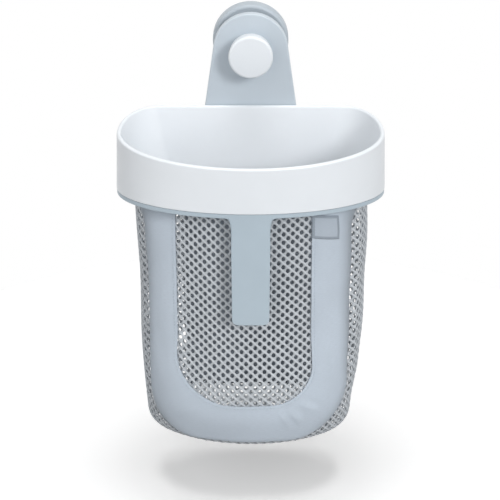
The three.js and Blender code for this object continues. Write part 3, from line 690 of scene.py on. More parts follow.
def suction_cup():
    lip = CUP_RADIUS - CUP_LIP_WIDTH
    groove_width, groove_depth = CUP_GROOVE
    crown = CUP_VAULT + CUP_WALL
    bore = STUD_RADIUS + SEAT_GAP
    pocket = STUD_FLANGE_RADIUS + SEAT_GAP
    pocket_back, pocket_front = STUD_FLANGE[0] - SEAT_GAP, STUD_FLANGE[1] + SEAT_GAP
    boss_front = HOUSING_FRONT - HOUSING_WALL - SEAT_GAP
    profile = [(lip * t, CUP_VAULT * (1 - t * t)) for t in np.linspace(0.01, 1, 12)]
    profile += [(lip + groove_width / 2, groove_depth), (lip + groove_width, CUP_SEAL_GAP)]
    profile += [(CUP_RADIUS - CUP_EDGE_RUN, 0)]
    profile += arc((CUP_RADIUS - CUP_EDGE, CUP_EDGE), CUP_EDGE, -60, 60, 5)
    profile += [(CUP_RADIUS - 2 * CUP_EDGE, CUP_LIP_THICKNESS - CUP_EDGE_FALL), (lip, CUP_LIP_THICKNESS)]
    profile += [(CUP_BOSS_RADIUS + CUP_SHOULDER[0], crown - CUP_SHOULDER[1])]
    profile += [(CUP_BOSS_RADIUS + CUP_BOSS_FOOT, crown), (CUP_BOSS_RADIUS, crown + CUP_BOSS_FOOT)]
    profile += rounded((CUP_BOSS_RADIUS, boss_front), CUP_BOSS_EDGE, 0, 90, 4)
    profile += [(bore, boss_front), (bore, pocket_front), (pocket, pocket_front)]
    profile += [(pocket, pocket_back), (CUP_AXIS_HOLE, pocket_back)]
    piece = lathe("cup_body", profile, CUP_SKIN)
    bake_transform(piece)
    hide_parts("suction_cup")


# Knob
def knob_body():
    bore = STUD_RADIUS + RUNNING_GAP
    nut_room = NUT_ACROSS_FLATS / 2 / math.cos(math.pi / 6) + SEAT_GAP
    rear = KNOB_RADIUS - KNOB_TAPER
    profile = [(bore, KNOB_BACK)]
    profile += rounded((KNOB_NECK_RADIUS, KNOB_BACK), KNOB_NECK_EDGE, -90, 0, 4)
    profile += rounded((KNOB_NECK_RADIUS, KNOB_HEAD_BACK), KNOB_NECK_FILLET, 180, 90, 5)
    profile += rounded((rear, KNOB_HEAD_BACK), KNOB_EDGE, -90, 0, 6)
    profile += [(KNOB_RADIUS - KNOB_BEVEL, KNOB_FRONT - KNOB_BEVEL)]
    profile += [(KNOB_RADIUS - 2 * KNOB_BEVEL, KNOB_FRONT)]
    profile += [(nut_room, KNOB_FRONT), (nut_room, NUT_BACK - SEAT_GAP), (bore, NUT_BACK - SEAT_GAP)]
    piece = lathe("knob_grip", profile, WHITE)
    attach(piece, "knob")
    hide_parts("knob_body")


def knob_cap():
    flat = KNOB_RADIUS - CAP_ROUND
    profile = [(CAP_AXIS_FACE, CAP_BACK), (KNOB_RADIUS - CAP_BEVEL[0], CAP_BACK)]
    profile += [(KNOB_RADIUS, CAP_BACK + CAP_BEVEL[1])]
    profile += rounded((KNOB_RADIUS, CAP_FRONT - CAP_CROWN), CAP_ROUND, 0, 90, 12)
    profile += [(flat * t, CAP_FRONT - CAP_CROWN * t * t) for t in np.linspace(0.96, 0.02, 20)]
    piece = lathe("knob_face", profile, WHITE, capped=True)
    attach(piece, "knob")
    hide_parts("knob_cap")


# Hanger plate
def plate_outline(inset):
    """Round top about the stud, flared sides and two rounded lower corners."""
    radius = PLATE_RADIUS - inset
    bottom = -PLATE_LENGTH + inset
    corner = PLATE_CORNER - inset
    corner_x = (radius - corner - (bottom + corner) * math.sin(PLATE_FLARE)) / math.cos(PLATE_FLARE)
    flare = math.degrees(PLATE_FLARE)
    points = arc((0, 0), radius, flare, 180 - flare, 60)
    points += arc((-corner_x, bottom + corner), corner, 180 - flare, 270, 14)
    points += arc((corner_x, bottom + corner), corner, 270, 360 + flare, 14)
    return np.array(points)


def hanger_plate():
    edge = plate_outline(0)
    bearing = np.arctan2(edge[:, 1], edge[:, 0])
    ring = np.stack([np.cos(bearing), np.sin(bearing)], axis=1)
    bore = STUD_RADIUS + RUNNING_GAP
    rows = [(ring * bore, PLATE_FRONT)]
    for step in np.linspace(0, math.pi / 2, 7):
        inset = PLATE_BEVEL * (1 - math.sin(step))
        rows.append((plate_outline(inset), PLATE_FRONT - PLATE_BEVEL * (1 - math.cos(step))))
    rows += [(edge, PLATE_BACK + PLATE_BACK_BEVEL), (plate_outline(PLATE_BACK_BEVEL), PLATE_BACK)]
    rows += [(plate_outline(PLATE_FLANGE), PLATE_BACK), (plate_outline(PLATE_FLANGE), PLATE_SKIN_BACK)]
    rows += [(ring * PLATE_BOSS_RADIUS, PLATE_SKIN_BACK), (ring * PLATE_BOSS_RADIUS, PLATE_BACK)]
    rows += [(ring * bore, PLATE_BACK)]
    points = [(x, -depth, z) for row, depth in rows for x, z in row]
    faces = grid_faces(len(rows), len(edge), wrap=True, close=True)
    low = -PLATE_LENGTH + PLATE_FLANGE - PLATE_RIB_ROOT
    high = -PLATE_BOSS_RADIUS + PLATE_RIB_IN_BOSS
    back, front = PLATE_BACK + SEAT_GAP, PLATE_SKIN_BACK + PLATE_RIB_ROOT
    half = PLATE_RIB_WIDTH / 2
    for x in (-PLATE_RIB_SPACING / 2, PLATE_RIB_SPACING / 2):
        faces += box_faces(len(points))
        points += box_points(x - half, x + half, back, front, low, high)
    piece = new_piece("plate_shell", points, faces, GREY, outward=True)
    even_normals(piece)
    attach(piece, "scoop")
    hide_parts("hanger_plate")


def box_points(x0, x1, depth0, depth1, z0, z1):
    return [(x, -depth, z) for x in (x0, x1) for depth in (depth0, depth1) for z in (z0, z1)]


def box_faces(first):
    corners = ((0, 1, 3, 2), (4, 6, 7, 5), (0, 4, 5, 1), (2, 3, 7, 6), (0, 2, 6, 4), (1, 5, 7, 3))
    return [tuple(first + k for k in face) for face in corners]


# Rim
def rim_collar():
    rim, hem = outline(RIM), outline(HEM)
    inner = -HEM_THICKNESS - SEAT_GAP - RIM_WALL
    half = RIM_LIP / 2
    rows = [row_below_top(rim, -RIM_DRAFT - half + x, half - y) for x, y in arc((0, 0), half, 0, 180, 12)]
    inside = [(inner, HEM_RISE + RIM_WALL), (inner, -RIM_INNER_DROP + RIM_INNER_BEVEL)]
    inside += [(inner + RIM_INNER_BEVEL, -RIM_INNER_DROP), (inner + RIM_WALL, -RIM_INNER_DROP)]
    inside += [(inner + RIM_WALL, HEM_RISE + SEAT_GAP)]
    rows += [row_by_edge(hem, offset, height) for offset, height in inside]
    rows += [row_below_top(rim, -RIM_DRAFT - RIM_LIP, RIM_CREST)]
    rows += [row_below_top(rim, -RIM_DRAFT - RIM_WALL, RIM_CREST), row_by_edge(rim, -RIM_WALL, RIM_WALL)]
    rows += [row_by_edge(hem, RING_OUTER + SEAT_GAP, RIM_WALL), row_by_edge(hem, RING_OUTER + SEAT_GAP, 0)]
    rows += [row_by_edge(rim, -RIM_ROUND + x, RIM_ROUND + y) for x, y in arc((0, 0), RIM_ROUND, -90, 0, 8)]
    piece = moulded_loop("rim_shell", rows, WHITE, RIM_SHARP)
    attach(piece, "scoop")
    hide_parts("rim_collar")


# Bag ring: a channel under the rim whose outer lip dips into the tab at the front
def tab_path():
    """Lower edge of the lip from left to right, as x and dip below the ring's edge."""
    side = (-TAB_TOP_HALF, TAB_FILLET), (-TAB_BOTTOM_HALF, TAB_LENGTH - TAB_CORNER)
    foot = (-TAB_BOTTOM_HALF + TAB_CORNER, TAB_LENGTH), (0, TAB_LENGTH)
    left = np.concatenate([
        rounded((-TAB_TOP_HALF, 0), TAB_FILLET, -90, 0, 8),
        np.linspace(*side, 18)[1:-1],
        rounded((-TAB_BOTTOM_HALF, TAB_LENGTH), TAB_CORNER, 180, 90, 11),
        np.linspace(*foot, 7)[1:],
    ])
    return np.concatenate([left, left[-2::-1] * (-1, 1)])


def front_station(sizes, x):
    return front_at(sizes, math.acos(x / sizes[0]))


def ring_columns():
    """Each column's place on rim and hem, and its lower edge: shift, dip and the way into the plastic."""
    rim, hem = outline(RIM), outline(HEM)
    path = tab_path()
    way = np.gradient(path, axis=0)
    way /= np.hypot(*way.T)[:, None]
    reach = -path[0, 0]
    run = distances(path)
    tops = reach - 2 * reach * run / run[-1]
    front = np.flatnonzero((np.abs(rim[:, 0]) <= reach) & (rim[:, 1] > WIDEST))
    first, last = front[0], front[-1] + 1
    on_rim = np.concatenate([rim[:first], [front_station(RIM, x) for x in tops], rim[last:]])
    on_hem = [front_station(HEM, x * HEM[0] / RIM[0]) for x in tops]
    on_hem = np.concatenate([hem[:first], on_hem, hem[last:]])
    edge = np.zeros((len(on_rim), 4))
    edge[:, 3] = -1
    edge[first:first + len(path)] = np.stack([-path[:, 0] - tops, path[:, 1], -way[:, 1], -way[:, 0]], axis=1)
    return on_rim, on_hem, edge


def lip_row(on_rim, edge, share, offset, trim, top):
    """A row on the lip: share 0 at the height top, 1 at its lower edge drawn back by trim."""
    shift = (edge[:, 0] + edge[:, 2] * trim) * share
    low = -RING_BAND - edge[:, 1] - edge[:, 3] * trim
    moved = [front_station(RIM, column[0] + s) if s else tuple(column) for column, s in zip(on_rim, shift)]
    x, depth = moved_out(np.array(moved), offset)
    return np.stack([x, -depth, rim_edge(depth) + top + (low - top) * share], axis=1)


def bag_ring():
    on_rim, on_hem, edge = ring_columns()
    outer, inner = -RING_INSET, -RING_INSET - RING_WALL
    web_top, web_bottom = -RING_TOP_GAP, -RING_OUTER
    turns = np.linspace(0, math.pi / 2, 6)
    outside, inside = np.linspace(0, 1, 14), np.linspace(1, 0, 8)[1:]
    rounding = [(RING_ROUND * (1 - math.cos(a)), RING_ROUND * (1 - math.sin(a))) for a in turns]
    rows = [lip_row(on_rim, edge, share, outer, RING_ROUND, web_top) for share in outside]
    rows += [lip_row(on_rim, edge, 1, outer - inset, trim, web_top) for inset, trim in rounding[1:]]
    rows += [lip_row(on_rim, edge, 1, inner + inset, trim, web_bottom) for inset, trim in rounding[::-1]]
    rows += [lip_row(on_rim, edge, share, inner, RING_ROUND, web_bottom) for share in inside]
    rows += [row_by_edge(on_hem, SEAT_GAP, web_bottom), row_by_edge(on_hem, SEAT_GAP, RING_RISE)]
    rows += [row_by_edge(on_hem, RING_OUTER, RING_RISE), row_by_edge(on_hem, RING_OUTER, web_top)]
    piece = moulded_loop("ring_band", rows, RING_GREY)
    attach(piece, "scoop")
    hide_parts("bag_ring")


# The bag's surface: along it from the middle of the front, down it from the top, and out from it
def half_round():
    """Half of the hem's outline, from the middle of the front to the middle of the back."""
    whole = outline(HEM, 24, 60, 240)
    columns = whole[int(np.argmax(whole[:, 1]))::-1]
    return distances(columns[:, :2]), columns


WALK, WALK_COLUMNS = half_round()
WALK_FRONT = WALK_COLUMNS[:, 1] >= WIDEST
FRONT_REACH = WALK[WALK_FRONT][-1]
BACK_REACH = WALK[-1]


def smooth(low, high, value):
    t = np.clip((value - low) / (high - low), 0, 1)
    return t * t * (3 - 2 * t)


def hump(value, centre, width):
    return np.exp(-(((value - centre) / width) ** 2))


def near_edge(gap, depth, reach):
    """Full depth at an edge, fading to nothing at its reach."""
    return depth * (1 - smooth(0, reach, gap))


def bag_scale(drop):
    share = np.clip((drop - BAG_TOP_DROP) / (WALL_BOTTOM - BAG_TOP_DROP), 0, 1)
    return 1 - (1 - BAG_BASE_SHARE) * share ** BAG_TAPER_POWER


def swells(drop, shapes):
    return sum(depth * hump(drop, centre, height) for depth, centre, height in shapes)


def foot(drop, depth, start, end):
    return depth * smooth(start, end, drop)


def slack(along, drop):
    """How far the soft walls hang in or out: drawn in on one side, swollen on the other, full at the foot."""
    reach = np.abs(along)
    side = smooth(*SIDE_SLACK_START, reach) * (1 - smooth(*SIDE_SLACK_END, reach))
    middle = 1 - smooth(*FRONT_SLACK_END, reach)
    right = swells(drop, RIGHT_SWELLS) + foot(drop, *RIGHT_FOOT)
    front = swells(drop, FRONT_SWELLS) + foot(drop, *FRONT_FOOT)
    return side * np.where(along < 0, swells(drop, LEFT_SWELLS), right) + middle * front


def on_bag(along, drop, lift=0.0):
    """Points of space for places along and down the bag, lifted off its surface."""
    along, drop = np.broadcast_arrays(np.asarray(along, float), np.asarray(drop, float))
    scale = bag_scale(drop)
    walk = np.abs(along) / scale
    x, depth, nx, nd = (np.interp(walk, WALK, WALK_COLUMNS[:, k]) for k in range(4))
    side = np.where(along < 0, -1.0, 1.0)
    over = np.clip(drop - WALL_BOTTOM, 0, None)
    turn = np.minimum(over / BAG_EDGE, math.pi / 2)
    inset = BAG_EDGE * (1 - np.cos(turn)) + np.clip(over - BAG_EDGE * math.pi / 2, 0, None)
    out = lift * np.cos(turn) + slack(along, drop) - inset
    px = side * (x * scale + out * nx)
    pd = WIDEST + (depth - WIDEST) * scale + out * nd
    z = -np.minimum(drop, WALL_BOTTOM) - BAG_EDGE * np.sin(turn) - lift * np.sin(turn)
    z = z - sag_at(px) * smooth(SAG_START, WALL_BOTTOM + BAG_EDGE, drop)
    return np.stack([px, -pd, z], axis=-1)


def sag_at(x):
    return BOTTOM_SAG * (1 + SAG_LEAN * smooth(*SAG_LEAN_SPAN, x))


def along_of(x, drop):
    """Distance along the bag for a place x on its curved front."""
    scale = bag_scale(drop)
    reach = np.interp(np.abs(x) / scale, WALK_COLUMNS[WALK_FRONT, 0], WALK[WALK_FRONT]) * scale
    return np.sign(x) * reach


def hem_drop(along):
    """Drop of the hem's lower edge at a place along the bag."""
    depth = np.interp(np.abs(along), WALK, WALK_COLUMNS[:, 1])
    return -rim_edge(depth) + HEM_DROP


def free_of_hem(along, drop):
    """How far the cloth is free to bulge or dip: not at all where it is sewn to the hem."""
    return smooth(0, HEM_HOLD, drop - hem_drop(along))


def ripple(x, drop, height, runs):
    """Two slow waves that cross, so that no stretch of cloth is quite flat."""
    return height * np.sin(x / runs[0] + drop / runs[1]) * np.sin(drop / runs[2] - x / runs[3])


# Front panel: a fabric pocket shape with a window, its inner edge turned under
def pocket_path(edge, grow=0.0):
    """U-shaped edge from the top left, down, across and up to the top right, as x and drop."""
    bottom, top = edge["bottom"] + grow, edge["top"]
    near, far = (corner + grow for corner in edge["corner"])
    left = [x - grow for x in edge["left"]]
    right = [x + grow for x in edge["right"]]
    return np.concatenate([
        np.linspace((left[0], top), (left[1], bottom - near), 41)[:-1],
        rounded((left[1], bottom), near, 180, 90, 22),
        np.linspace((left[1] + near, bottom), (right[1] - far, bottom), 25)[1:-1],
        rounded((right[1], bottom), far, 90, 0, 22),
        np.linspace((right[1], bottom - far), (right[0], top), 41)[1:],
    ])


def crease(x, drop, place, angle, length, width):
    """A soft fold line: long one way, narrow the other."""
    turn = math.radians(angle)
    u = (x - place[0]) * math.cos(turn) + (drop - place[1]) * math.sin(turn)
    v = -(x - place[0]) * math.sin(turn) + (drop - place[1]) * math.cos(turn)
    return np.exp(-((u / length) ** 2) - (v / width) ** 2)


def panel_wrinkles(x, drop):
    folds = ripple(x, drop, PANEL_RIPPLE, PANEL_RIPPLE_RUNS)
    for height, *shape in PANEL_CREASES:
        folds = folds + height * crease(x, drop, *shape)
    return folds * free_of_hem(along_of(x, drop), drop)


def panel_rise(share, edge_gap, along, drop):
    """The panel swells between its window and its outer seam, and is drawn in at the seam."""
    swell = PANEL_SWELL * 4 * share * (1 - share)
    return (swell - near_edge(edge_gap, *PANEL_SEAM_DIP)) * free_of_hem(along, drop)


def edge_x(edge, side, drop):
    """Place x of a pocket shape's straight side at a drop."""
    top, low = edge[side]
    corner = edge["corner"][side == "right"]
    share = np.clip((drop - edge["top"]) / (edge["bottom"] - corner - edge["top"]), 0, 1)
    return top + (low - top) * share


def panel_rows(inner, outer):
    """Paths from the panel's turned edge to its seam, each with its lift and its place across the cloth."""
    under = pocket_path(WINDOW_EDGE, TURNED_EDGE)
    rows = [(inner + (under - inner) * t, lift, -TURNED_EDGE * t) for t, lift in TURNED_ROWS]
    shares = [np.linspace(*stretch, endpoint=False) for stretch in PANEL_ROWS]
    for share in np.concatenate(shares + [[1]]):
        lift = CLOTH + near_edge(share, *WINDOW_ROLL)
        rows.append((inner + (outer - inner) * share, lift, PANEL_RUN * share))
    return rows


def front_panel():
    inner, outer = pocket_path(WINDOW_EDGE), pocket_path(PANEL_EDGE)
    run = distances(inner)
    points, flat, painted_seam_shade = [], [], []
    for k, (path, lift, across) in enumerate(panel_rows(inner, outer)):
        x, drop = path.T
        along = along_of(x, drop)
        share = np.clip(across / PANEL_RUN, 0, 1)
        edge_gap = np.hypot(*(outer - path).T)
        pucker = PUCKER * np.sin(run / PUCKER_RUN) * hump(np.hypot(*(inner - path).T), *PUCKER_PLACE)
        face = panel_wrinkles(x, drop) + pucker if k >= len(TURNED_ROWS) - 1 else 0
        points.append(on_bag(along, drop, SEWN_GAP + lift + panel_rise(share, edge_gap, along, drop) + face))
        flat.append(np.stack([along, drop], axis=1))
        # Painted shade: share of darker colour near the outer seam, strongest at the sides
        painted_seam_shade.append(near_edge(edge_gap, *PAINTED_SHADE_REACH) * smooth(*PAINTED_SHADE_SIDES, np.abs(x)))
    piece = cloth_sheet("front_panel_cloth", points, flat, FABRIC, CLOTH)
    seam_shade_layer = piece.data.attributes.new("painted_seam_shade", "FLOAT", "POINT")
    seam_shade_layer.data.foreach_set("value", np.concatenate(painted_seam_shade))
    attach(piece, "scoop")
    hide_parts("bag_front_panel")
    return piece


# Stitches: short twisted threads round the window
def window_lift(x, drop):
    return SEWN_GAP + CLOTH + STITCH_RISE * free_of_hem(along_of(x, drop), drop) + panel_wrinkles(x, drop)


def stitches():
    path = pocket_path(WINDOW_EDGE, STITCH_INSET)
    run = distances(path)
    share = np.linspace(0, 1, STITCH_RINGS)
    arch = STITCH_RADIUS * (STITCH_ARCH * np.sqrt(np.clip(1 - (2 * share - 1) ** 2, 0, 1)) - 1)
    thick = STITCH_RADIUS * np.sqrt(np.clip(1 - (2 * share - 1) ** 4, STITCH_BLUNT, 1))
    turns = np.linspace(0, 2 * math.pi, STITCH_SIDES, endpoint=False)
    every = range(STITCH_RINGS * STITCH_SIDES)
    tube = grid_faces(STITCH_RINGS, STITCH_SIDES, wrap=True)
    tube += [every[:STITCH_SIDES], every[:-STITCH_SIDES - 1:-1]]
    points, faces = [], []
    for start in np.arange(STITCH_PITCH, run[-1] - STITCH_PITCH, STITCH_PITCH):
        x, drop = (np.interp(start + STITCH_LENGTH * share, run, path[:, k]) for k in range(2))
        along = along_of(x, drop)
        lift = window_lift(x, drop) + arch
        spine = on_bag(along, drop, lift)
        out = on_bag(along, drop, lift + 1) - spine
        side = np.cross(np.gradient(spine, axis=0), out)
        side /= np.linalg.norm(side, axis=1)[:, None]
        faces += [tuple(len(points) + k for k in face) for face in tube]
        for centre, up, across, radius in zip(spine, out, side, thick):
            points += [centre + radius * (math.cos(a) * up + math.sin(a) * across) for a in turns]
    piece = new_piece("window_stitches", points, faces, THREAD, CLOTH_SHARP, outward=True)
    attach(piece, "scoop")
    return piece


# Nets: one diamond cell round each hole, shared edges between neighbours
def net_cells(keep, along_range, drop_range):
    """Whole-number cell places whose centres the keep test accepts."""
    across, down = NET_PITCH
    cells = []
    for j in range(math.floor(drop_range[0] / down * 2), math.ceil(drop_range[1] / down * 2) + 1):
        for i in range(math.floor(along_range[0] / across), math.ceil(along_range[1] / across) + 1):
            centre = (i + 0.5 * (j % 2)) * across, j * down / 2
            if keep(*centre):
                cells.append((4 * i + 2 * (j % 2), 2 * j))
    return cells


def net_mesh(cells, place, hole):
    """Points and faces of a net; place turns flat positions and lifts into points of space."""
    quarter = np.array(NET_PITCH) / 4
    corner = [(2, 0), (1, -1), (0, -2), (-1, -1), (-2, 0), (-1, 1), (0, 2), (1, 1)]
    turns = np.linspace(0, 2 * math.pi, len(corner), endpoint=False)
    shared, flats, lifts, faces = {}, [], [], []

    def shared_point(key):
        if key not in shared:
            shared[key] = len(flats)
            flats.append((key[0] * quarter[0], key[1] * quarter[1]))
            lifts.append(OVER_CORD if (key[0] - key[1]) % 4 else UNDER_CORD)
        return shared[key]

    for ci, cj in cells:
        x, y = ci * quarter[0], cj * quarter[1]
        loops = [[shared_point((ci + a, cj + b)) for a, b in corner]]
        for grow, lift in HOLE_LOOPS:
            loops.append(range(len(flats), len(flats) + len(turns)))
            flats += [(x + grow * hole[0] * math.cos(a), y - grow * hole[1] * math.sin(a)) for a in turns]
            lifts += [lift] * len(turns)
        for outer, inner in zip(loops, loops[1:]):
            for k in range(len(turns)):
                after = (k + 1) % len(turns)
                faces.append((outer[k], outer[after], inner[after], inner[k]))
    flats, lifts = np.array(flats), np.array(lifts)
    return place(flats[:, 0], flats[:, 1], lifts), faces, flats


def net_piece(name, cells, place, node=None, hole=NET_HOLE):
    points, faces, flats = net_mesh(cells, place, hole)
    piece = new_piece(name, points, faces, NETTING, NET_SHARP, flat=flats)
    thicken(piece, NET_STRAND)
    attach(piece, "scoop")
    if node:
        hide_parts(node)
    return piece


def inside_pocket(edge, grow, x, drop):
    """Whether a place on the bag's front lies in a pocket shape grown by an amount."""
    low = edge["bottom"] + grow
    left = edge_x(edge, "left", drop) - grow
    right = edge_x(edge, "right", drop) + grow
    if not (left < x < right and drop < low):
        return False
    for corner, gap in zip(edge["corner"], (x - left, right - x)):
        round_edge = corner + grow
        deep, sideways = drop - (low - round_edge), round_edge - gap
        if deep > 0 and sideways > 0 and math.hypot(deep, sideways) > round_edge:
            return False
    return True


def x_of(along, drop):
    return float(on_bag(along, min(drop, WALL_BOTTOM))[0])


def front_net():
    def keep(along, drop):
        if drop < hem_drop(along) - HEM_OVERLAP:
            return False
        return inside_pocket(WINDOW_EDGE, NET_OVERLAP, x_of(along, drop), drop)

    def place(along, drop, lift):
        return on_bag(along, drop, lift - WINDOW_NET_SETBACK)

    cells = net_cells(keep, (-FRONT_REACH, FRONT_REACH), (BAG_TOP_DROP, WALL_BOTTOM))
    return net_piece("front_net", cells, place, "bag_front_mesh")


def seam_dip(word, along, drop):
    """The nets are drawn in where they meet the front panel."""
    seam = np.abs(along_of(edge_x(PANEL_EDGE, word, drop), drop))
    dip = near_edge(np.abs(along) - seam, *NET_SEAM_DIP)
    return -dip * (1 - smooth(*NET_SEAM_END, drop)) * free_of_hem(along, drop)


def side_net(word, reach):
    def keep(along, drop):
        if drop < hem_drop(along) - HEM_OVERLAP or drop > WALL_BOTTOM:
            return False
        if abs(along) < FRONT_REACH and inside_pocket(PANEL_EDGE, -NET_OVERLAP, x_of(along, drop), drop):
            return False
        return abs(along) < back_start(drop) + NET_OVERLAP

    def place(along, drop, lift):
        return on_bag(along, drop, lift - WALL_NET_SETBACK + seam_dip(word, along, drop))

    cells = net_cells(keep, reach, (BAG_TOP_DROP, WALL_BOTTOM))
    return net_piece(f"side_net_{word}", cells, place, f"bag_side_mesh_{word}")


def back_start(drop):
    """Distance along the bag at which the back panel begins."""
    return (BACK_REACH - BACK_PANEL_HALF) * bag_scale(drop)


def bottom_net():
    """The net that turns in from the walls at the foot."""
    end = WALL_BOTTOM + BAG_EDGE * math.pi / 2 + BOTTOM_NET_RUN

    def keep(along, drop):
        return WALL_BOTTOM < drop <= end and abs(along) < BACK_REACH * BAG_BASE_SHARE

    def place(along, drop, lift):
        return on_bag(along, drop, lift - WALL_NET_SETBACK)

    cells = net_cells(keep, (-BACK_REACH, BACK_REACH), (WALL_BOTTOM, end))
    return net_piece("bottom_net", cells, place, "bag_bottom_mesh")


def floor_net():
    """The level middle of the bag's bottom, sewn to the net that turns in from the walls."""
    half_width, front, back = (size * BAG_BASE_SHARE - BAG_EDGE - FLOOR_INSET for size in HEM[:3])

    def keep(x, depth):
        limit = front if depth > WIDEST else back
        return (x / half_width) ** 2 + ((depth - WIDEST) / limit) ** 2 < 1

    def place(x, depth, lift):
        z = -WALL_BOTTOM - BAG_EDGE - sag_at(x) - lift + WALL_NET_SETBACK
        middle = 1 - (x / FLOOR_DISH_SPAN[0]) ** 2 - ((depth - WIDEST) / FLOOR_DISH_SPAN[1]) ** 2
        return np.stack([x, -depth, z - FLOOR_DISH * np.clip(middle, 0, 1)], axis=-1)

    cells = net_cells(keep, (-half_width, half_width), (WIDEST - back, WIDEST + front))
    return net_piece("bottom_net_middle", cells, place, hole=FLOOR_HOLE)


# Back panel, hem and patch
def back_panel():
    offset = np.linspace(-BACK_PANEL_HALF, BACK_PANEL_HALF, 61)
    along = np.where(offset < 0, -(BACK_REACH + offset), BACK_REACH - offset)
    side_gap = BACK_PANEL_HALF - np.abs(offset)
    top = hem_drop(along) - BACK_TUCK
    dip = -near_edge(side_gap, *BACK_SEAM_DIP)
    rows, flat = [], []
    for t in np.linspace(0, 1, 60):
        drop = top + (WALL_BOTTOM + BACK_OVERRUN - top) * t
        wave = ripple(offset, drop, BACK_RIPPLE, BACK_RIPPLE_RUNS)
        hang = smooth(0, BACK_HOLLOW_EDGE, side_gap) * swells(drop, [BACK_HOLLOW])
        lift = SEWN_GAP + CLOTH + (dip + wave + hang) * free_of_hem(along, drop)
        rows.append(on_bag(along * bag_scale(drop), drop, lift))
        flat.append(np.stack([offset, drop], axis=1))
    piece = cloth_sheet("back_panel_cloth", rows, flat, SHADED_BACK_FABRIC, CLOTH)
    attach(piece, "scoop")
    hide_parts("bag_back_panel")
    return piece


def hem_length():
    hem = outline(HEM)
    return float(step_lengths(np.vstack([hem, hem[:1]])[:, :2]).sum())


def hem_band():
    """The doubled and sewn top edge of the bag, round at its upper and lower folds."""
    hem = outline(HEM)
    lengths = distances(hem[:, :2])
    fold = HEM_THICKNESS / 2
    high, low = HEM_RISE - fold, -HEM_DROP + fold
    profile = [(0.0, height) for height in np.linspace(high, low, 6)]
    profile += arc((-fold, low), fold, 0, -180, 6)[1:]
    profile += [(-HEM_THICKNESS, height) for height in np.linspace(low, high, 6)[1:]]
    profile += arc((-fold, high), fold, 180, 0, 6)[1:-1]
    rows = [row_by_edge(hem, offset, height) for offset, height in profile]
    flat = [np.stack([lengths, np.full(len(hem), down)], axis=1) for down in distances(profile)]
    faces = grid_faces(len(rows), len(hem), wrap=True, close=True)
    points, flat = np.concatenate(rows), np.concatenate(flat)
    piece = new_piece("hem_band", points, faces, FABRIC, CLOTH_SHARP, flat=flat, outward=True)
    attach(piece, "scoop")
    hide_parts("bag_hem")
    return piece


def patch():
    x = np.linspace(PATCH_CENTRE - PATCH_SIZE[0] / 2, PATCH_CENTRE + PATCH_SIZE[0] / 2, 23)
    inner_end = along_of(x[:1], np.array([BAG_TOP_DROP]))
    top = float(hem_drop(inner_end)[0]) + PATCH_DROP
    side_curl = near_edge(np.minimum(x - x[0], x[-1] - x), *PATCH_SIDE_CURL)
    rows, flat = [], []
    for t in np.linspace(0, 1, 21):
        drop = top + PATCH_SLANT * (x - x[0]) + PATCH_SIZE[1] * t
        along = along_of(x, drop)
        curl = side_curl + PATCH_LOW_CURL * smooth(*PATCH_LOW_CURL_SHARES, t)
        inner, outer = edge_x(WINDOW_EDGE, "right", drop), edge_x(PANEL_EDGE, "right", drop)
        rise = panel_rise((x - inner) / (outer - inner), outer - x, along, drop)
        lift = SEWN_GAP + CLOTH + LABEL_THICKNESS + curl + rise + panel_wrinkles(x, drop)
        rows.append(on_bag(along, drop, lift))
        flat.append(np.stack([along - along[0], np.full(len(x), PATCH_SIZE[1] * t)], axis=1))
    piece = cloth_sheet("patch_cloth", rows, flat, LABEL, LABEL_THICKNESS)
    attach(piece, "scoop")
    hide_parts("sewn_patch")
    return piece


# Stage, light and camera
def seen(tree):
    """1 for rays that show a surface directly, mirrored or through clear parts, and 0 for the rest."""
    path = add_node(tree, "ShaderNodeLightPath")
    straight = math_node(tree, "MAXIMUM", path.outputs["Is Camera Ray"], path.outputs["Is Glossy Ray"])
    return math_node(tree, "MAXIMUM", straight, path.outputs["Is Transmission Ray"])


def grey(level):
    return level, level, level, 1.0


def stage():
    """A round of paper: pale and a little lit where it is seen, duller where it only throws light back."""
    material, tree, shader, place = new_material("floor_paper", 0.9)
    shader.inputs["Specular IOR Level"].default_value = 0.0
    shader.inputs["Emission Color"].default_value = grey(1.0)
    shown = seen(tree)
    paper = blend_colours(tree, noise(tree, place, 6.0), *map(grey, FLOOR_PAPER))
    set_colour(tree, shader, blend_colours(tree, shown, grey(FLOOR_BOUNCE), paper))
    tree.links.new(math_node(tree, "MULTIPLY", shown, FLOOR_LIFT), shader.inputs["Emission Strength"])
    turns = np.linspace(0, 2 * math.pi, 96, endpoint=False)
    edge = [(FLOOR_RADIUS * math.cos(a), FLOOR_RADIUS * math.sin(a) - WIDEST, -FLOOR_DROP) for a in turns]
    floor = new_piece("floor", edge, [tuple(range(len(edge)))], material)
    return floor


def sun(name, way, strength, angle):
    """A far lamp that shines from the given way."""
    lamp = bpy.data.lights.new(name, "SUN")
    lamp.energy = strength
    lamp.angle = math.radians(angle)
    holder = bpy.data.objects.new(name, lamp)
    holder.rotation_euler = (math.atan2(math.hypot(*way[:2]), way[2]), 0, math.atan2(way[0], -way[1]))
    bpy.context.scene.collection.objects.link(holder)
    return holder


def keep_off(lamp, piece):
    """Keeps a lamp's light off one piece, as a flag does in a studio."""
    shaded = bpy.data.collections.new(f"{lamp.name}_shaded")
    shaded.objects.link(piece)
    shaded.collection_objects[0].light_linking.link_state = "EXCLUDE"
    lamp.light_linking.receiver_collection = shaded


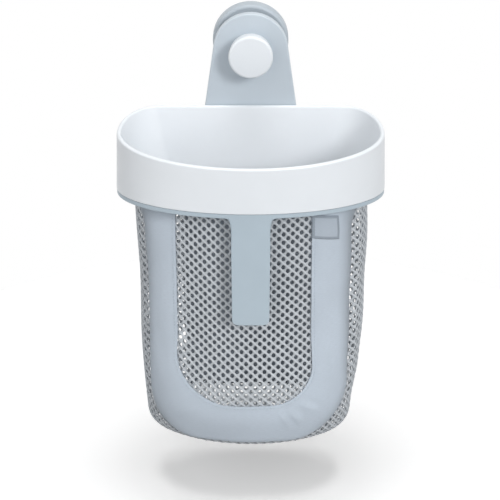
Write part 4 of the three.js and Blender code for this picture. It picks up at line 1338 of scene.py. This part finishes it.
def world_light(above, below):
    """Soft light from all round, a little stronger from below, and plain white where it is seen."""
    world = bpy.data.worlds.new("studio")
    bpy.context.scene.world = world
    world.use_nodes = True
    tree = world.node_tree
    background = tree.nodes["Background"]
    way = add_node(tree, "ShaderNodeTexCoord").outputs["Generated"]
    ambient = map_range(tree, split(tree, way)[2], (-0.3, 0.3), (below, above))
    level = map_range(tree, seen(tree), (0.0, 1.0), (ambient, 1.0))
    tree.links.new(level, background.inputs["Strength"])
    background.inputs["Color"].default_value = grey(1.0)


def camera():
    lens = bpy.data.cameras.new("photo_camera")
    lens.sensor_width = CAMERA_SENSOR
    lens.lens = CAMERA_LENS
    holder = bpy.data.objects.new("photo_camera", lens)
    holder.location = [c * MM for c in CAMERA_PLACE]
    holder.rotation_euler = (math.radians(CAMERA_TILT), 0, 0)
    bpy.context.scene.collection.objects.link(holder)
    bpy.context.scene.camera = holder


def dress_small_nodes():
    finishes = {"suction_stud": STEEL, "thrust_washer": NYLON, "knob_nut": BRASS}
    finishes.update({f"plate_screw_{k}": STEEL for k in range(1, 5)})
    for node, material in finishes.items():
        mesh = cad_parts[node].data
        if not mesh.materials:
            mesh.materials.append(material)
        for slot in range(len(mesh.materials)):
            mesh.materials[slot] = material


def declare(piece, flat=None):
    """Works out the size of the box round a sheet's flat pattern, unless it is given; the result is not used.
    """
    if flat is None:
        corners = np.zeros(2 * len(piece.data.loops))
        piece.data.uv_layers["cloth"].data.foreach_get("uv", corners)
        flat = np.ptp(corners.reshape(-1, 2), axis=0)


mount_housing()
suction_cup()
knob_body()
knob_cap()
hanger_plate()
rim_collar()
bag_ring()
dress_small_nodes()
panel = front_panel()
window_net = front_net()
left_net = side_net("left", (-BACK_REACH, 0))
right_net = side_net("right", (0, BACK_REACH))
base_net = bottom_net()
middle_net = floor_net()
rear = back_panel()
band = hem_band()
label = patch()
seam = stitches()
declare(panel)
for net in (window_net, left_net, right_net):
    declare(net)
declare(base_net)
declare(middle_net)
declare(rear)
declare(band, flat=(hem_length() * MM, (HEM_RISE + HEM_DROP) * MM))
declare(label)
floor = stage()
lamps = {name: sun(name, *setting) for name, setting in LAMPS.items()}
keep_off(lamps["key"], floor)
world_light(WORLD_ABOVE, WORLD_BELOW)
camera()
bpy.context.scene.view_settings.view_transform = "Standard"
